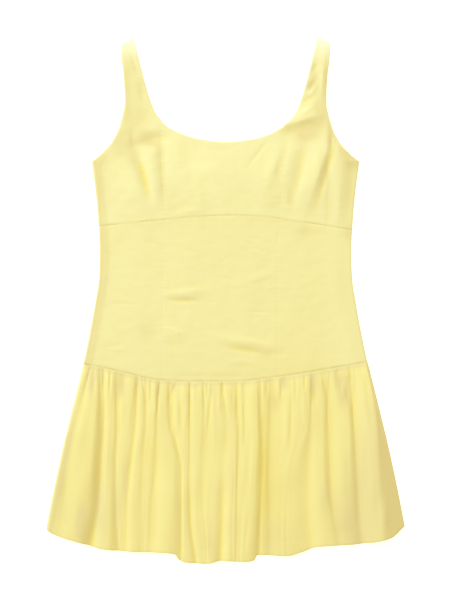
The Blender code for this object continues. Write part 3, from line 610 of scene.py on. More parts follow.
# Spots of painted shade on the front bodice, where its creases, straps and underarms fall in shade.
SHADES = (
    # across, height, half width, half height, painted fold shade, painted shade
    # right strap
    (-161, 342, 8, 50, 0, 0.75),
    (-150, 378, 9, 20, 0, 0.35),
    (-142, 290, 22, 18, 0.2, 0.8),
    (-142, 330, 22, 30, 0, 0.3),
    (-137, 351, 14, 34, 0, 0.3),
    # right side of the bust and underarm
    (-212, 205, 4, 22, 0, 0.8),
    (-208, 180, 6, 50, 0, 0.6),
    (-208, 225, 15, 11, 0, 1),
    (-200, 205, 26, 44, 0, 0.45),
    (-168, 250, 20, 26, 0, 0.85),
    (-150, 250, 8, 12, 0.3, 0.5),
    (-148, 224, 10, 20, 0, 0.5),
    (-133, 268, 20, 8, 0, 0.6),
    (-132, 252, 16, 7, 0, 0.7),
    (-128, 185, 8, 22, 0, 0.3),
    (-118, 250, 9, 6, 0, 0.5),
    (-108, 238, 7, 26, 0.1, 0.6),
    (-102, 188, 6, 34, 0, 0.4),
    # left strap
    (136, 341, 7, 5, 0, 0.8),
    (141, 347, 6, 5, 0, 0.8),
    (143, 361, 7, 26, 0, 0.7),
    (148, 305, 8, 10, 0, 0.5),
    (150, 322, 9, 20, 0, 0.4),
    (156, 292, 6, 12, 0.1, 0.6),
    (163, 345, 5, 40, 0, 1),
    # left side of the bust and underarm
    (76, 162, 14, 30, 0.1, 0.3),
    (83, 200, 4, 16, 0, 0.35),
    (92, 214, 12, 40, 0, 0.35),
    (97, 270, 12, 9, 0.3, 0.5),
    (99, 280, 9, 7, 0.1, 0.6),
    (103, 163, 5, 14, 0, 0.5),
    (118, 218, 24, 34, 0, 0.35),
    (124, 266, 16, 12, 0.4, 0.8),
    (131, 268, 14, 18, 0, 0.4),
    (142, 284, 16, 7, 0, 0.5),
    (148, 275, 14, 16, 0.3, 0.6),
    (154, 208, 7, 34, 0, 0.45),
    (162.5, 207, 4, 22, 0, 0.8),
    (166, 262, 5, 16, 0, 1),
    (198, 180, 8, 44, 0, 0.4),
    (202, 228, 22, 20, 0.1, 1),
    (206, 224, 6, 10, 0, 0.8),
    # midriff
    (-204, 106, 5, 12, 0, 0.6),
    (-124, -50, 14, 24, 0, 0.3),
    (-60, -1, 12, 4, 0, 0.4),
    (65, -90, 12, 5, 0, 0.4),
    (127, 106, 14, 13, 0, 0.3),
    (197, 108, 7, 14, 0, 0.6),
)
# The midriff lies lower than the bust and the skirt, and gets less light: how much shade is painted on it, by
# height.
MIDRIFF_SHADE = ((-135.0, 0.42), (-118.0, 0.34), (-95.0, 0.25), (-40.0, 0.19), (100.0, 0.17), (135.0, 0.2))
# That shade lessens towards the wearer's left side: from where, over what width, and by what share.
MIDRIFF_LIT_FROM, MIDRIFF_LIT_WIDTH, MIDRIFF_LIT = 140.0, 60.0, 0.7
# Its yellow deepens by this share of the shade on the wearer's right, and by all of it on the left.
MIDRIFF_TINT, MIDRIFF_TINT_REACH = 0.2, 150.0
SEAM_SHADE, SEAM_SHADE_WIDTH = 0.3, 2.5  # painted shade in the seam under the bust, where its allowances also double the cloth
WAIST_SHADE, WAIST_SHADE_AT, WAIST_SHADE_WIDTH = 0.9, 1.8, 4.0  # and painted shade in the gathers just under the waist seam
HIGHLIGHT_FROM, HIGHLIGHT_LENGTH = 0.368, 0.05  # a highlight is painted on the tops of the straps: from this height, over this length, in metres

# Threads, in metres
WEFT_LENGTH, WARP_LENGTH, SLUB_THREADS = 0.028, 0.036, 2.2  # how long slubs are, and how many threads wide
CLOUD_WIDTH, CLOUD_LENGTH, CLOUD_STRENGTH = 0.045, 0.06, 0.35  # soft patches of a deeper and a paler yellow
SLUB_ROUGHNESS = 0.12
WEAVE_RELIEF, SLUB_RELIEF, RELIEF_HEIGHT = 0.35, 1.1, 0.00012

# Stage, in metres
FLOOR_DROP = 0.2  # how far the floor lies under the cloth, in millimetres
SENSOR = 36.0  # millimetres, along the long side of the picture
AIM = (-0.0008, -0.0008)
AIM_HEIGHT = 0.01
KEY_PLACE, KEY_WIDTH = (-3.4, 4.0, 4.3), 3.3


def through(rows):
    """A smooth curve through rows of (position, value) that never overshoots them."""
    places, values = np.array(rows, float).T
    spans = np.diff(places)
    rises = np.diff(values)
    slopes = rises / spans
    before, after = slopes[:-1], slopes[1:]
    together = np.where(before * after > 0, before + after, 1.0)
    inner = np.where(before * after > 0, 2 * before * after / together, 0.0)
    tangents = np.concatenate([slopes[:1], inner, slopes[-1:]])

    def at(place):
        place = np.clip(place, places[0], places[-1])
        i = np.clip(np.searchsorted(places, place, side="right") - 1, 0, len(spans) - 1)
        s = (place - places[i]) / spans[i]
        bend_in = tangents[i] * spans[i] - rises[i]
        bend_out = rises[i] - tangents[i + 1] * spans[i]
        return values[i] + s * rises[i] + s * (1 - s) * ((1 - s) * bend_in + s * bend_out)

    return at


def ease(share):
    """0 to 1, level at both ends."""
    share = np.clip(share, 0.0, 1.0)
    return share * share * (3 - 2 * share)


def blend(a, b, share):
    """From a to b by a share."""
    return a + (b - a) * share


def mottle(x, y, across, along, pattern):
    """Soft uneven bumps from -1 to 1, about that size across and along the dress."""
    places = zip((x / across).ravel(), (y / along).ravel())
    return np.reshape([noise.noise(Vector((a, b, pattern))) for a, b in places], x.shape)


side = through(SIDE)
armhole = through(ARMHOLE)
strap_inner = through(STRAP_INNER)
scoop = through(SCOOP)
underbust = through(UNDERBUST)
waist = through(WAIST)
princess_right = through(PRINCESS_RIGHT)
princess_left = through(PRINCESS_LEFT)
hem = through(HEM)
back_waist = through(BACK_WAIST)
back_hem = through(BACK_HEM)
bodice_lift = through(BODICE_LIFT)
midriff_shade = through(MIDRIFF_SHADE)
fold_growth = through(FOLD_GROWTH)
gather_puff = through(GATHER_PUFF)


def half_width(y):
    """Half the width of the dress at a height."""
    return np.where(y <= UNDERARM, side(y), armhole(y))


def bell(distance, height, width):
    """A smooth bump of that height and half width, at a distance from its middle."""
    return height * np.exp(-((distance / width) ** 2))


def near(x, y, spot):
    """1 at a spot, falling to 0 around it."""
    spot_x, spot_y, wide, high = spot
    return np.exp(-(((x - spot_x) / wide) ** 2) - ((y - spot_y) / high) ** 2)


def crease(x, y, row):
    """How strongly a crease from one point to another is felt at (x, y), from 0 to 1."""
    x0, y0, x1, y1, before, after = row
    run_x, run_y = x1 - x0, y1 - y0
    length = math.hypot(run_x, run_y)
    along = ((x - x0) * run_x + (y - y0) * run_y) / length**2
    across = ((x - x0) * run_y - (y - y0) * run_x) / length
    width = np.where(across < 0, before, after)
    return bell(across, ease(CREASE_FADE * np.minimum(along, 1 - along) + CREASE_END), width)


def creased(x, y, creases):
    """How far a table's creases lift the cloth at (x, y)."""
    return sum(row[-1] * crease(x, y, row[:-1]) for row in creases)


def side_hold(x, y):
    """0 where the front meets the back at the sides, rising to 1 inwards: at once on the wearer's right."""
    inside = np.maximum(half_width(y) - np.abs(x), 0.0)
    wide = blend(SIDE_EASE, ARMHOLE_EASE, ease((y - UNDERARM) / SIDE_EASE))
    return np.where(x < 0, np.sqrt(np.minimum(inside / EDGE_ROUNDING, 1.0)), ease(inside / wide))


def bodice_height(x, y):
    """Underside of the solid of the front bodice."""
    lift = bodice_lift(y) + sum(row[-1] * near(x, y, row[:-1]) for row in CUPS) + creased(x, y, RIDGES)
    for row in TROUGHS:
        lift = lift * (1 - row[-1] * crease(x, y, row[:-1]))
    return REST + lift * side_hold(x, y)


def rolled(distance):
    """How far the cloth drops as it rounds off, at a distance from a finished edge."""
    inside = np.clip(1 - distance / ROLL_WIDTH, 0.0, 1.0)
    return ROLL_DROP * (1 - np.sqrt(1 - inside**2))


def seam_sink(along, distance, dip, pattern):
    """How far the cloth sinks at a seam: a narrow groove, with small puckers that die away on both sides."""
    drift = mottle(along, np.zeros_like(along), PUCKER_DRIFT, 1.0, pattern)
    puckers = PUCKER_HEIGHT * np.sin(2 * math.pi * along / PUCKER_LENGTH + PUCKER_TURN * drift)
    return bell(distance, dip * (1 + drift), SEAM_WIDTH) + puckers * np.exp(-np.abs(distance) / PUCKER_REACH)


def edge_distance(x, y):
    """About how far a point of the bodice is from its nearest finished edge."""
    outside = half_width(y) - np.abs(x)
    neck = np.where(np.abs(x) < NECK_HALF, scoop(x) - y, np.abs(x) - strap_inner(y))
    return np.maximum(np.minimum(outside, neck), 0.0)


def shades(x, y, spots):
    """How much painted fold shade and painted shade each of a table's spots puts on the cloth at (x, y)."""
    for *spot, fold_shade, painted_darkening in spots:
        felt = near(x, y, spot)
        yield fold_shade * felt, painted_darkening * felt


def front_bodice(x, y, folds):
    """Height of the outer face of the front bodice, and how much painted shade it has in its hollows and
    elsewhere.
    """
    soft = sum(
        height * mottle(x + slant * y, y, across, along, pattern)
        for across, along, slant, height, pattern in SOFT_BUMPS
    )
    fine = folds.crease_strength * creased(x, y, FINE_CREASES) + folds.ripple_height / METRES * soft
    seams = seam_sink(x, y - underbust(x), CROSS_SEAM_DIP, UNDERBUST_PATTERN)
    seams = seams + bell(y - waist(x), CROSS_SEAM_DIP, SEAM_WIDTH)
    for line, pattern in ((princess_left, LEFT_PATTERN), (princess_right, RIGHT_PATTERN)):
        below_neck = ease((PRINCESS_TOP - y) / PRINCESS_FADE)
        seams = seams + seam_sink(y, x - line(y), LONG_SEAM_DIP, pattern) * below_neck
    z = bodice_height(x, y) + WALL + side_hold(x, y) * fine - seams - rolled(edge_distance(x, y))
    # Painted shade along the sides under the underarms, over the midriff, along the seam under the bust and
    # in spots.
    painted_darkening = painted_shade(x, half_width(y) - np.abs(x), EDGE_SHADES) * (1 - ease((y - UNDERARM) / EDGE_SHADE_ABOVE))
    lit = MIDRIFF_LIT * ease((x - MIDRIFF_LIT_FROM) / MIDRIFF_LIT_WIDTH)
    shade = midriff_shade(y) * (y < underbust(x)) * (1 - lit)
    tint = blend(MIDRIFF_TINT, 1.0, ease((x + MIDRIFF_TINT_REACH) / (2 * MIDRIFF_TINT_REACH)))
    # Shade painted into the hollows, and on the midriff.
    deep = np.maximum(hollows(z, HOLLOW_REACH / folds.bodice_step * METRES, HOLLOW_DEPTH), shade * tint)
    painted_darkening = painted_darkening + shade + bell(y - underbust(x), SEAM_SHADE, SEAM_SHADE_WIDTH)
    for fold_shade, darker in shades(x, y, SHADES):
        deep, painted_darkening = np.maximum(deep, fold_shade), painted_darkening + darker
    return z, deep, painted_darkening


def softened(z, reach):
    """z averaged over the cells within reach of each point."""
    for axis in (0, 1):
        margins = [(reach + 1, reach) if side_axis == axis else (0, 0) for side_axis in (0, 1)]
        sums = np.cumsum(np.pad(z, margins, mode="edge"), axis=axis)
        width = 2 * reach + 1
        lower = np.take(sums, range(sums.shape[axis] - width), axis=axis)
        upper = np.take(sums, range(width, sums.shape[axis]), axis=axis)
        z = (upper - lower) / width
    return z


def hollows(z, reach, depth):
    """How far each point lies under its surroundings, as a share of a depth."""
    return np.clip((softened(z, round(reach)) - z) / depth, 0.0, 1.0)


def painted_shade(x, to_side, edges):
    """How much shade is painted along the dress's sides, where the cloth rounds off over its seam allowances.
    """
    return sum(
        amount * (np.sign(x) == sign) * ease((width - to_side) / (EDGE_SHADE_FADE * width) + 0.5)
        for sign, width, amount in edges
    )


def crossing(line, curve):
    """Where a line down the dress meets a curve across it."""
    x = 0.0
    for _ in range(CROSSING_ROUNDS):
        x = float(line(curve(x)))
    return x


def four_sided(first, last, bottom, top, step):
    """x and y over a panel between two lines down the dress and two curves across it, about a step apart."""
    low, high = ([crossing(line, curve) for line in (first, last)] for curve in (bottom, top))
    feet, heads = bottom(np.array(low)), top(np.array(high))
    columns = round((low[1] - low[0]) / step)
    rows = round((heads[0] - feet[0]) / step)
    u, v = np.meshgrid(np.linspace(0, 1, columns + 1), np.linspace(0, 1, rows + 1))
    first_y, last_y = blend(feet[0], heads[0], v), blend(feet[1], heads[1], v)
    low_x, high_x = blend(*low, u), blend(*high, u)
    corners_x, corners_y = blend(low_x, high_x, v), blend(first_y, last_y, u)
    x = blend(low_x, high_x, v) + blend(first(first_y), last(last_y), u) - corners_x
    y = blend(bottom(low_x), top(high_x), v) + blend(first_y, last_y, u) - corners_y
    return x, y


def strap_strip(wearer_side, line, bottom, neck, inset, step):
    """x and y over the strip beside a line down the dress, from its lower edge to the end of its strap."""
    sign = 1 if wearer_side == "left" else -1
    neck_y = STRAP_TOP - FOLD_REACH
    shoulder_y = neck_y - STRAP_SLANT[wearer_side]
    foot, junction = (float(curve(crossing(line, curve))) for curve in (bottom, neck))
    side_foot = float(bottom(crossing(lambda y: sign * half_width(y), bottom)))
    inner_y = np.concatenate([
        np.linspace(foot, junction, round((junction - foot) / step) + 1),
        np.linspace(junction, neck_y, round((neck_y - junction) / step) + 1)[1:],
    ])
    rows = len(inner_y) - 1
    under = round(rows * (UNDERARM - side_foot) / (shoulder_y - side_foot))
    above = np.linspace(0, 1, rows - under + 1)[1:]
    outer_y = np.concatenate([
        np.linspace(side_foot, UNDERARM, under + 1), blend(UNDERARM, shoulder_y, above**ARMHOLE_CROWDING)
    ])
    seam = np.abs(line(np.minimum(inner_y, junction)))
    strap = np.maximum(strap_inner(inner_y) + inset, seam)
    inner_x = blend(seam, strap, ease((inner_y - junction) / JUNCTION_EASE))
    outer_x = half_width(outer_y) - inset
    u = np.linspace(0, 1, round(STRIP_WIDTH / step) + 1)
    x = sign * blend(inner_x[:, None], outer_x[:, None], u)
    y = blend(inner_y[:, None], outer_y[:, None], u)
    to_curve = np.clip(1 - np.arange(rows + 1) / under, 0.0, 1.0)[:, None]
    y = y + (bottom(x[0]) - y[0]) * to_curve
    return (x, y) if sign > 0 else (x[:, ::-1], y[:, ::-1])


def fold_over(patch):
    """Adds the top of a strap, turned down to the surface in front of the end of the back's strap."""
    drop = patch[Z, -1:] - FOLD_FOOT
    rows = [patch]
    for turn in np.radians(np.linspace(0, 90, FOLD_ROWS + 1)[1:]):
        turned = patch[:, -1:].copy()
        turned[Y] += FOLD_REACH * math.sin(turn)
        turned[Z] -= drop * (1 - math.cos(turn))
        turned[CUT_Y] += FOLD_REACH * turn
        rows.append(turned)
    return np.concatenate(rows, axis=1)


def skirt_side(share):
    """Half width of the skirt, that share of the way down."""
    return side(blend(SIDE_WAIST, SIDE_HEM, share))


def down_skirt(values):
    """A curve down the skirt through its values at the five levels."""
    return through(tuple(zip(FOLD_LEVELS, values)))


# Every crest and valley of the front skirt, from side to side: where it is, and how high, down its length.
CRESTS = [fold[:2] for fold in FRONT_FOLDS] + [LAST_CREST]
VALLEYS = [fold[2:4] for fold in FRONT_FOLDS]
STATION_LINES = [lambda share: -skirt_side(share)]
STATION_HEIGHTS = [lambda share: share * 0.0 + EDGE_HEIGHT]
for crest_row, valley_row in zip(CRESTS, [*VALLEYS, None]):
    for row in (crest_row, valley_row):
        if row:
            STATION_LINES.append(down_skirt(row[0]))
            STATION_HEIGHTS.append(down_skirt(row[1]))
STATION_LINES.append(skirt_side)
STATION_HEIGHTS.append(STATION_HEIGHTS[0])
STATION_STARTS = np.array([float(line(0.0)) for line in STATION_LINES])
SOFTNESS = np.array([EDGE_SOFTNESS, *(fold[-1] for fold in FRONT_FOLDS), EDGE_SOFTNESS])


def at_stations(curves, index, share):
    """Each of the curves that is asked for by its number, at each share of the way down."""
    return np.stack([curve(share) for curve in curves], axis=1)[:, index]


def between_stations(seam_x):
    """The crest or valley before the cloth that starts at seam_x, and the share of the way to the next."""
    seam_x = np.clip(seam_x, STATION_STARTS[0], STATION_STARTS[-1])
    index = np.clip(np.searchsorted(STATION_STARTS, seam_x, side="right") - 1, 0, len(STATION_STARTS) - 2)
    return index, (seam_x - STATION_STARTS[index]) / (STATION_STARTS[index + 1] - STATION_STARTS[index])


def skirt_across(seam_x, share):
    """Where the cloth that starts at each seam_x has got to, with a row to each share of the way down."""
    index, part = between_stations(seam_x)
    before, after = (at_stations(STATION_LINES, index + step, share) for step in (0, 1))
    return blend(before, after, part)


def front_skirt_rise(seam_x, share):
    """Height of the front skirt's folds over its own base."""
    index, part = between_stations(seam_x)
    before, after = (at_stations(STATION_HEIGHTS, index + step, share) for step in (0, 1))
    rising = index % 2 == 0
    up = np.where(rising, part, 1 - part)
    down = share[:, None]
    soft = SOFTNESS[(index + 1) // 2] * blend(SEAM_SOFTNESS, 1.0, ease(down / FOLD_OPENS_BY))
    up = up * up * (1 + soft) / (up + soft)
    arch = 1 - (1 - up) ** np.where(index < len(STATION_STARTS) - 2, ARCH_POWER, SIDE_ARCH_POWER)
    foot, crest = np.where(rising, before, after), np.where(rising, after, before)
    return blend(foot, crest, arch) * fold_growth(down) + arch * gather_puff(down)


def front_skirt(seam_x, share, folds):
    """Outer face of the front skirt: x, y, z, and how much painted shade it has in its hollows and elsewhere,
    with a row to each share.
    """
    x = skirt_across(seam_x, share)
    down = share[:, None]
    y = blend(waist(seam_x), hem(skirt_across(seam_x, np.ones(1))), down)
    to_side = skirt_side(down) - np.abs(x)
    from_seam, to_hem = down * SKIRT_LENGTH, (1 - down) * SKIRT_LENGTH
    base = REST + (WAIST_LIFT + FOLD_CLEARANCE * down) * ease(to_side / SIDE_EASE)
    drape = mottle(*np.meshgrid(seam_x, share * SKIRT_LENGTH), DRAPE_SIZE, DRAPE_LENGTH, DRAPE_PATTERN)
    rise = front_skirt_rise(seam_x, share) * (1 + folds.drape_strength * drape)
    patches = PATCH_HEIGHT * ease(down / PATCHES_FROM) * mottle(x, y, PATCH_SIZE, PATCH_LENGTH, PATCH_PATTERN)
    gathers = creased(x, y, GATHERS) * ease(from_seam / GATHERS_FROM)
    rise = np.maximum(rise + patches + gathers, 0.0)
    for valley, lean in FOLD_LEANS:
        beside = x - down_skirt(VALLEYS[valley][0])(down) - LEAN_FROM
        x = x - bell(beside, lean, LEAN_WIDTH) * ease(down / FOLD_OPENS_BY)
    turned_up = HEM_STEP * ease((HEM_DEPTH - to_hem) / HEM_RAMP + 0.5)
    sewn = bell(to_hem - HEM_DEPTH, HEM_STEP, HEM_LINE) + bell(from_seam, CROSS_SEAM_DIP, SEAM_WIDTH)
    held = np.sqrt(np.clip(to_side / EDGE_ROUNDING, 0.0, 1.0))
    z = base + WALL + held * rise + turned_up - sewn - rolled(np.minimum(to_side, to_hem))
    # Shade painted into the skirt's hollows, and over all of its gathered cloth.
    inner = ease(to_side / SKIRT_HOLLOW_FROM)
    deep = blend(SKIRT_FOLD_SHADE, 1.0, inner * hollows(z, SKIRT_HOLLOW_REACH, SKIRT_HOLLOW_DEPTH))
    # Painted shade along the sides, past the line where it turns under, under the waist seam and in spots.
    edges = painted_shade(x, to_side, SKIRT_EDGE_SHADES) * np.where(x < 0, ease(down / SKIRT_EDGE_FROM), 1.0)
    turned = TURN_SHADE * ease((x - down_skirt(TURN_LINE)(down)) / TURN_WIDTH + 0.5)
    painted_darkening = SKIRT_SHADE + edges + turned + bell(from_seam - WAIST_SHADE_AT, WAIST_SHADE, WAIST_SHADE_WIDTH)
    for fold_shade, darker in shades(x, y, SKIRT_SHADES):
        deep, painted_darkening = deep + fold_shade, painted_darkening + darker
    return x, y, z, deep, painted_darkening


def skirt_columns(step):
    """Where the front skirt's columns of faces start on the seam: each crest and valley has its own."""
    columns = [STATION_STARTS[:1]]
    for i, (line, next_line) in enumerate(zip(STATION_LINES, STATION_LINES[1:])):
        widest = max(float(next_line(level) - line(level)) for level in FOLD_LEVELS)
        faces = max(round(widest / step), FEWEST_FACES)
        columns.append(np.linspace(*STATION_STARTS[i : i + 2], faces + 1)[1:])
    return np.concatenate(columns)


def back_skirt(u, share, _):
    """Upper face of the back skirt, from one side to the other as u goes from 0 to 1."""
    u, share = np.meshgrid(u, share)
    half = skirt_side(share) - BACK_INSET
    x = blend(-half, half, u)
    seam_y = back_waist(blend(-HALF_WAIST, HALF_WAIST, u))
    hem_y = back_hem(blend(BACK_HEM[0][0], BACK_HEM[-1][0], u))
    drift = sum(far * np.sin(often * u + start) for far, often, start in BACK_DRIFT)
    wave = 0.5 - 0.5 * np.cos(2 * math.pi * (BACK_GATHERS * u + drift * share))
    raised = np.maximum(0.0, wave - BACK_FLAT_SHARE) / (1 - BACK_FLAT_SHARE)
    grown = ease(share / BACK_GROWN_BY) * ease((half - np.abs(x)) / SIDE_EASE)
    z = BACK_TOP + BACK_RIDGE * raised * grown
    # The low cloth between the back's gathers gets the folds' painted shade.
    return x, blend(seam_y, hem_y, share), z, np.clip(1 - raised, 0.0, 1.0), np.zeros_like(x)


class Socket:
    """A shader value that does arithmetic: each operator adds a Math node."""

    def __init__(self, finish, output):
        self.finish = finish
        self.output = output

    def maths(self, operation, *values):
        return self.finish.node("ShaderNodeMath", {"operation": operation}, dict(enumerate(values)))

    def __add__(self, other):
        return self.maths("ADD", self, other)

    def __radd__(self, other):
        return self.maths("ADD", other, self)

    def __sub__(self, other):
        return self.maths("SUBTRACT", self, other)

    def __rsub__(self, other):
        return self.maths("SUBTRACT", other, self)

    def __mul__(self, other):
        return self.maths("MULTIPLY", self, other)

    def __rmul__(self, other):
        return self.maths("MULTIPLY", other, self)

    def sine(self):
        return self.maths("SINE", self)

    def clamped(self):
        return self.finish.node("ShaderNodeClamp", {}, {"Value": self})


class Finish:
    """A material, made a node at a time."""

    def __init__(self, name, constants):
        self.material = bpy.data.materials.new(name)
        self.material.use_nodes = True
        self.tree = self.material.node_tree
        self.shader = self.tree.nodes["Principled BSDF"]
        for socket, value in constants.items():
            self.shader.inputs[socket].default_value = value

    def node(self, kind, settings, inputs, output=0):
        """Adds a node of that type, with its settings first, and the values or links of its sockets."""
        made = self.tree.nodes.new(kind)
        for setting, value in settings.items():
            setattr(made, setting, value)
        for socket, value in inputs.items():
            self.feed(made.inputs[socket], value)
        return Socket(self, made.outputs[output])

    def feed(self, socket, value):
        if isinstance(value, Socket):
            self.tree.links.new(value.output, socket)
        else:
            socket.default_value = value

    def set(self, socket, value):
        """Feeds one of the shader's own sockets."""
        self.feed(self.shader.inputs[socket], value)

    def mix(self, share, a, b):
        """A colour between two colours."""
        return self.node("ShaderNodeMix", {"data_type": "RGBA"}, {0: share, 6: a, 7: b}, output=2)

    def streaks(self, place, wide, long, detail):
        """Uneven threads: noise stretched to that size, in metres."""
        stretch = {0: place, 1: (1 / wide, 1 / long, 1.0)}
        stretched = self.node("ShaderNodeVectorMath", {"operation": "MULTIPLY"}, stretch)
        noise_inputs = {"Vector": stretched, "Scale": 1.0, "Detail": detail}
        return self.node("ShaderNodeTexNoise", {"noise_dimensions": "2D"}, noise_inputs)


def linen(cloth):
    """Plain-woven linen: thick and thin crossing threads in an uneven yellow, with painted shade and a
    highlight.
    """
    constants = {"Sheen Weight": cloth.sheen, "Sheen Roughness": 0.45, "Specular IOR Level": 0.25}
    finish = Finish("yellow_linen", constants)
    place = finish.node("ShaderNodeUVMap", {"uv_map": "cut"}, {})
    across = finish.node("ShaderNodeSeparateXYZ", {}, {0: place}, output="X")
    along = finish.node("ShaderNodeSeparateXYZ", {}, {0: place}, output="Y")
    turn = math.pi / cloth.thread_pitch
    weave = (across * turn).sine() * (along * turn).sine()
    thick = cloth.thread_pitch * SLUB_THREADS
    weft = finish.streaks(place, WEFT_LENGTH, thick, detail=1.0) - 0.5
    warp = finish.streaks(place, thick, WARP_LENGTH, detail=1.0) - 0.5
    clouds = finish.streaks(place, CLOUD_WIDTH, CLOUD_LENGTH, detail=3.0) - 0.5
    fold_shade, painted_shade_amount = (
        finish.node("ShaderNodeAttribute", {"attribute_name": look}, {}, output="Fac") for look in LOOKS
    )
    uneven = (weft + warp) * cloth.slub_strength + clouds * CLOUD_STRENGTH
    light = finish.mix((0.5 + uneven).clamped(), cloth.colour_low, cloth.colour_high)
    # Shade painted into the colour where the cloth lies low in its hollows.
    fold_shaded = finish.mix((fold_shade * cloth.fold_shade_strength).clamped(), light, cloth.colour_fold_shade_and_thread)
    # Painted shade along the sides and in spots.
    shaded = finish.mix(painted_shade_amount.clamped(), fold_shaded, cloth.colour_painted_shade)
    on_dress = finish.node("ShaderNodeTexCoord", {}, {}, output="Object")
    height = finish.node("ShaderNodeSeparateXYZ", {}, {0: on_dress}, output="Y")
    # A highlight painted on the tops of the straps.
    strap_top_highlight = ((height - HIGHLIGHT_FROM) * (1 / HIGHLIGHT_LENGTH)).clamped()
    finish.set("Base Color", finish.mix(strap_top_highlight * strap_top_highlight, shaded, cloth.colour_strap_highlight))
    finish.set("Roughness", (cloth.roughness + weft * SLUB_ROUGHNESS).clamped())
    threads = weave * WEAVE_RELIEF + (weft + warp) * SLUB_RELIEF
    relief = {"Strength": cloth.weave_strength, "Distance": RELIEF_HEIGHT, "Height": threads}
    finish.set("Normal", finish.node("ShaderNodeBump", {}, relief))
    return finish.material


def sewing_thread(cloth):
    """Twisted polyester thread, a shade deeper than the cloth."""
    finish = Finish("yellow_thread", {"Roughness": 0.55})
    place = finish.node("ShaderNodeTexCoord", {}, {}, output="Object")
    twist = finish.node("ShaderNodeTexNoise", {}, {"Vector": place, "Scale": 900.0, "Detail": 1.0})
    finish.set("Base Color", finish.mix(twist.clamped(), cloth.colour_fold_shade_and_thread, cloth.colour_low))
    relief = {"Strength": 0.4, "Distance": 0.0001, "Height": twist}
    finish.set("Normal", finish.node("ShaderNodeBump", {}, relief))
    return finish.material


def finish_of(context, name, make):
    """The material of that name, made the first time that it is asked for."""
    return bpy.data.materials.get(name) or make(context.scene.sundress_cloth)


def add_piece(context, name, mesh, finish):
    """Puts a finished mesh into the scene, on the dress's only body."""
    mesh.materials.append(finish)
    mesh.shade_smooth()
    made = bpy.data.objects.new(name, mesh)
    context.scene.collection.objects.link(made)
    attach(made, BODY)
    return made


def patch_of(x, y, z, fold_shade, painted_darkening, cut_x, cut_y):
    """One patch of cloth, as grids: its place, its painted shade in hollows and elsewhere, and its place in
    the cut.
    """
    return np.stack(np.broadcast_arrays(x, y, z, fold_shade, painted_darkening, cut_x, cut_y))


def patch_mesh(name, patch):
    """The mesh of one patch: a grid of faces, laid in its place, with its place in the cut as its UV map."""
    _, rows, columns = patch.shape
    grid = bmesh.new()
    bmesh.ops.create_grid(grid, x_segments=columns - 1, y_segments=rows - 1, size=0.5)
    mesh = bpy.data.meshes.new(name)
    grid.to_mesh(mesh)
    grid.free()
    places = np.empty(len(mesh.vertices) * 3)
    mesh.vertices.foreach_get("co", places)
    across, up, _ = places.reshape(-1, 3).T + 0.5
    laid = patch[:, np.rint(up * (rows - 1)).astype(int), np.rint(across * (columns - 1)).astype(int)]
    corners = np.empty(len(mesh.loops), int)
    mesh.loops.foreach_get("vertex_index", corners)
    mesh.vertices.foreach_set("co", (laid[: Z + 1].T * METRES).ravel())
    mesh.uv_layers.new(name="cut").data.foreach_set("uv", (laid[CUT_X:].T[corners] * METRES).ravel())
    for look, values in zip(LOOKS, laid[Z + 1 : CUT_X]):
        mesh.attributes.new(look, "FLOAT", "POINT").data.foreach_set("value", values)
    return mesh


def lay_cloth(context, node, patches):
    """A thin sheet of cloth that stands for a solid: its patches side by side, joined where they meet."""
    whole = bmesh.new()
    for patch in patches:
        part = patch_mesh(node, patch)
        whole.from_mesh(part)
        bpy.data.meshes.remove(part)
    bmesh.ops.remove_doubles(whole, verts=whole.verts[:], dist=JOIN * METRES)
    for edge in whole.edges:
        edge.smooth = not edge.is_boundary
    area = sum(face.calc_area() for face in whole.faces)
    mesh = bpy.data.meshes.new(f"{node}_cloth")
    whole.to_mesh(mesh)
    whole.free()
    piece = add_piece(context, f"{node}_cloth", mesh, finish_of(context, "yellow_linen", linen))
    wall = piece.modifiers.new("thickness", "SOLIDIFY")
    wall.thickness = context.scene.sundress_cloth.thickness
    wall.offset = -1.0
    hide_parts(node)
    cut = np.concatenate([patch[CUT_X:].reshape(2, -1) for patch in patches], axis=1)
    width, length = (np.ptp(cut, axis=1) + 2 * SEAM_ALLOWANCE) * METRES
    allowance = 2 * (width + length) * SEAM_ALLOWANCE * METRES
    float(min(area + allowance, width * length))


def sew(context, name, line):
    """A row of stitches: small threads laid end to end along a line of points on the cloth."""
    steps = np.linalg.norm(np.diff(line, axis=0), axis=1)
    reached = np.concatenate([[0.0], np.cumsum(steps)])
    thread = bmesh.new()
    for start in np.arange(STITCH_GAP, reached[-1] - STITCH_LENGTH, STITCH_LENGTH + STITCH_GAP):
        ends = [
            Vector([np.interp(at, reached, axis) for axis in line.T]) for at in (start, start + STITCH_LENGTH)
        ]
        run = ends[1] - ends[0]
        turn = run.to_track_quat("X", "Z").to_matrix().to_4x4()
        size = Matrix.Diagonal((run.length / 2, STITCH_THICKNESS / 2, STITCH_THICKNESS / 2, 1.0))
        place = Matrix.Translation((ends[0] + ends[1]) / 2)
        matrix = Matrix.Scale(METRES, 4) @ place @ turn @ size
        bmesh.ops.create_uvsphere(
            thread, u_segments=STITCH_SIDES, v_segments=STITCH_RINGS, radius=1.0, matrix=matrix
        )
    mesh = bpy.data.meshes.new(name)
    thread.to_mesh(mesh)
    thread.free()
    return add_piece(context, name, mesh, finish_of(context, "yellow_thread", sewing_thread))


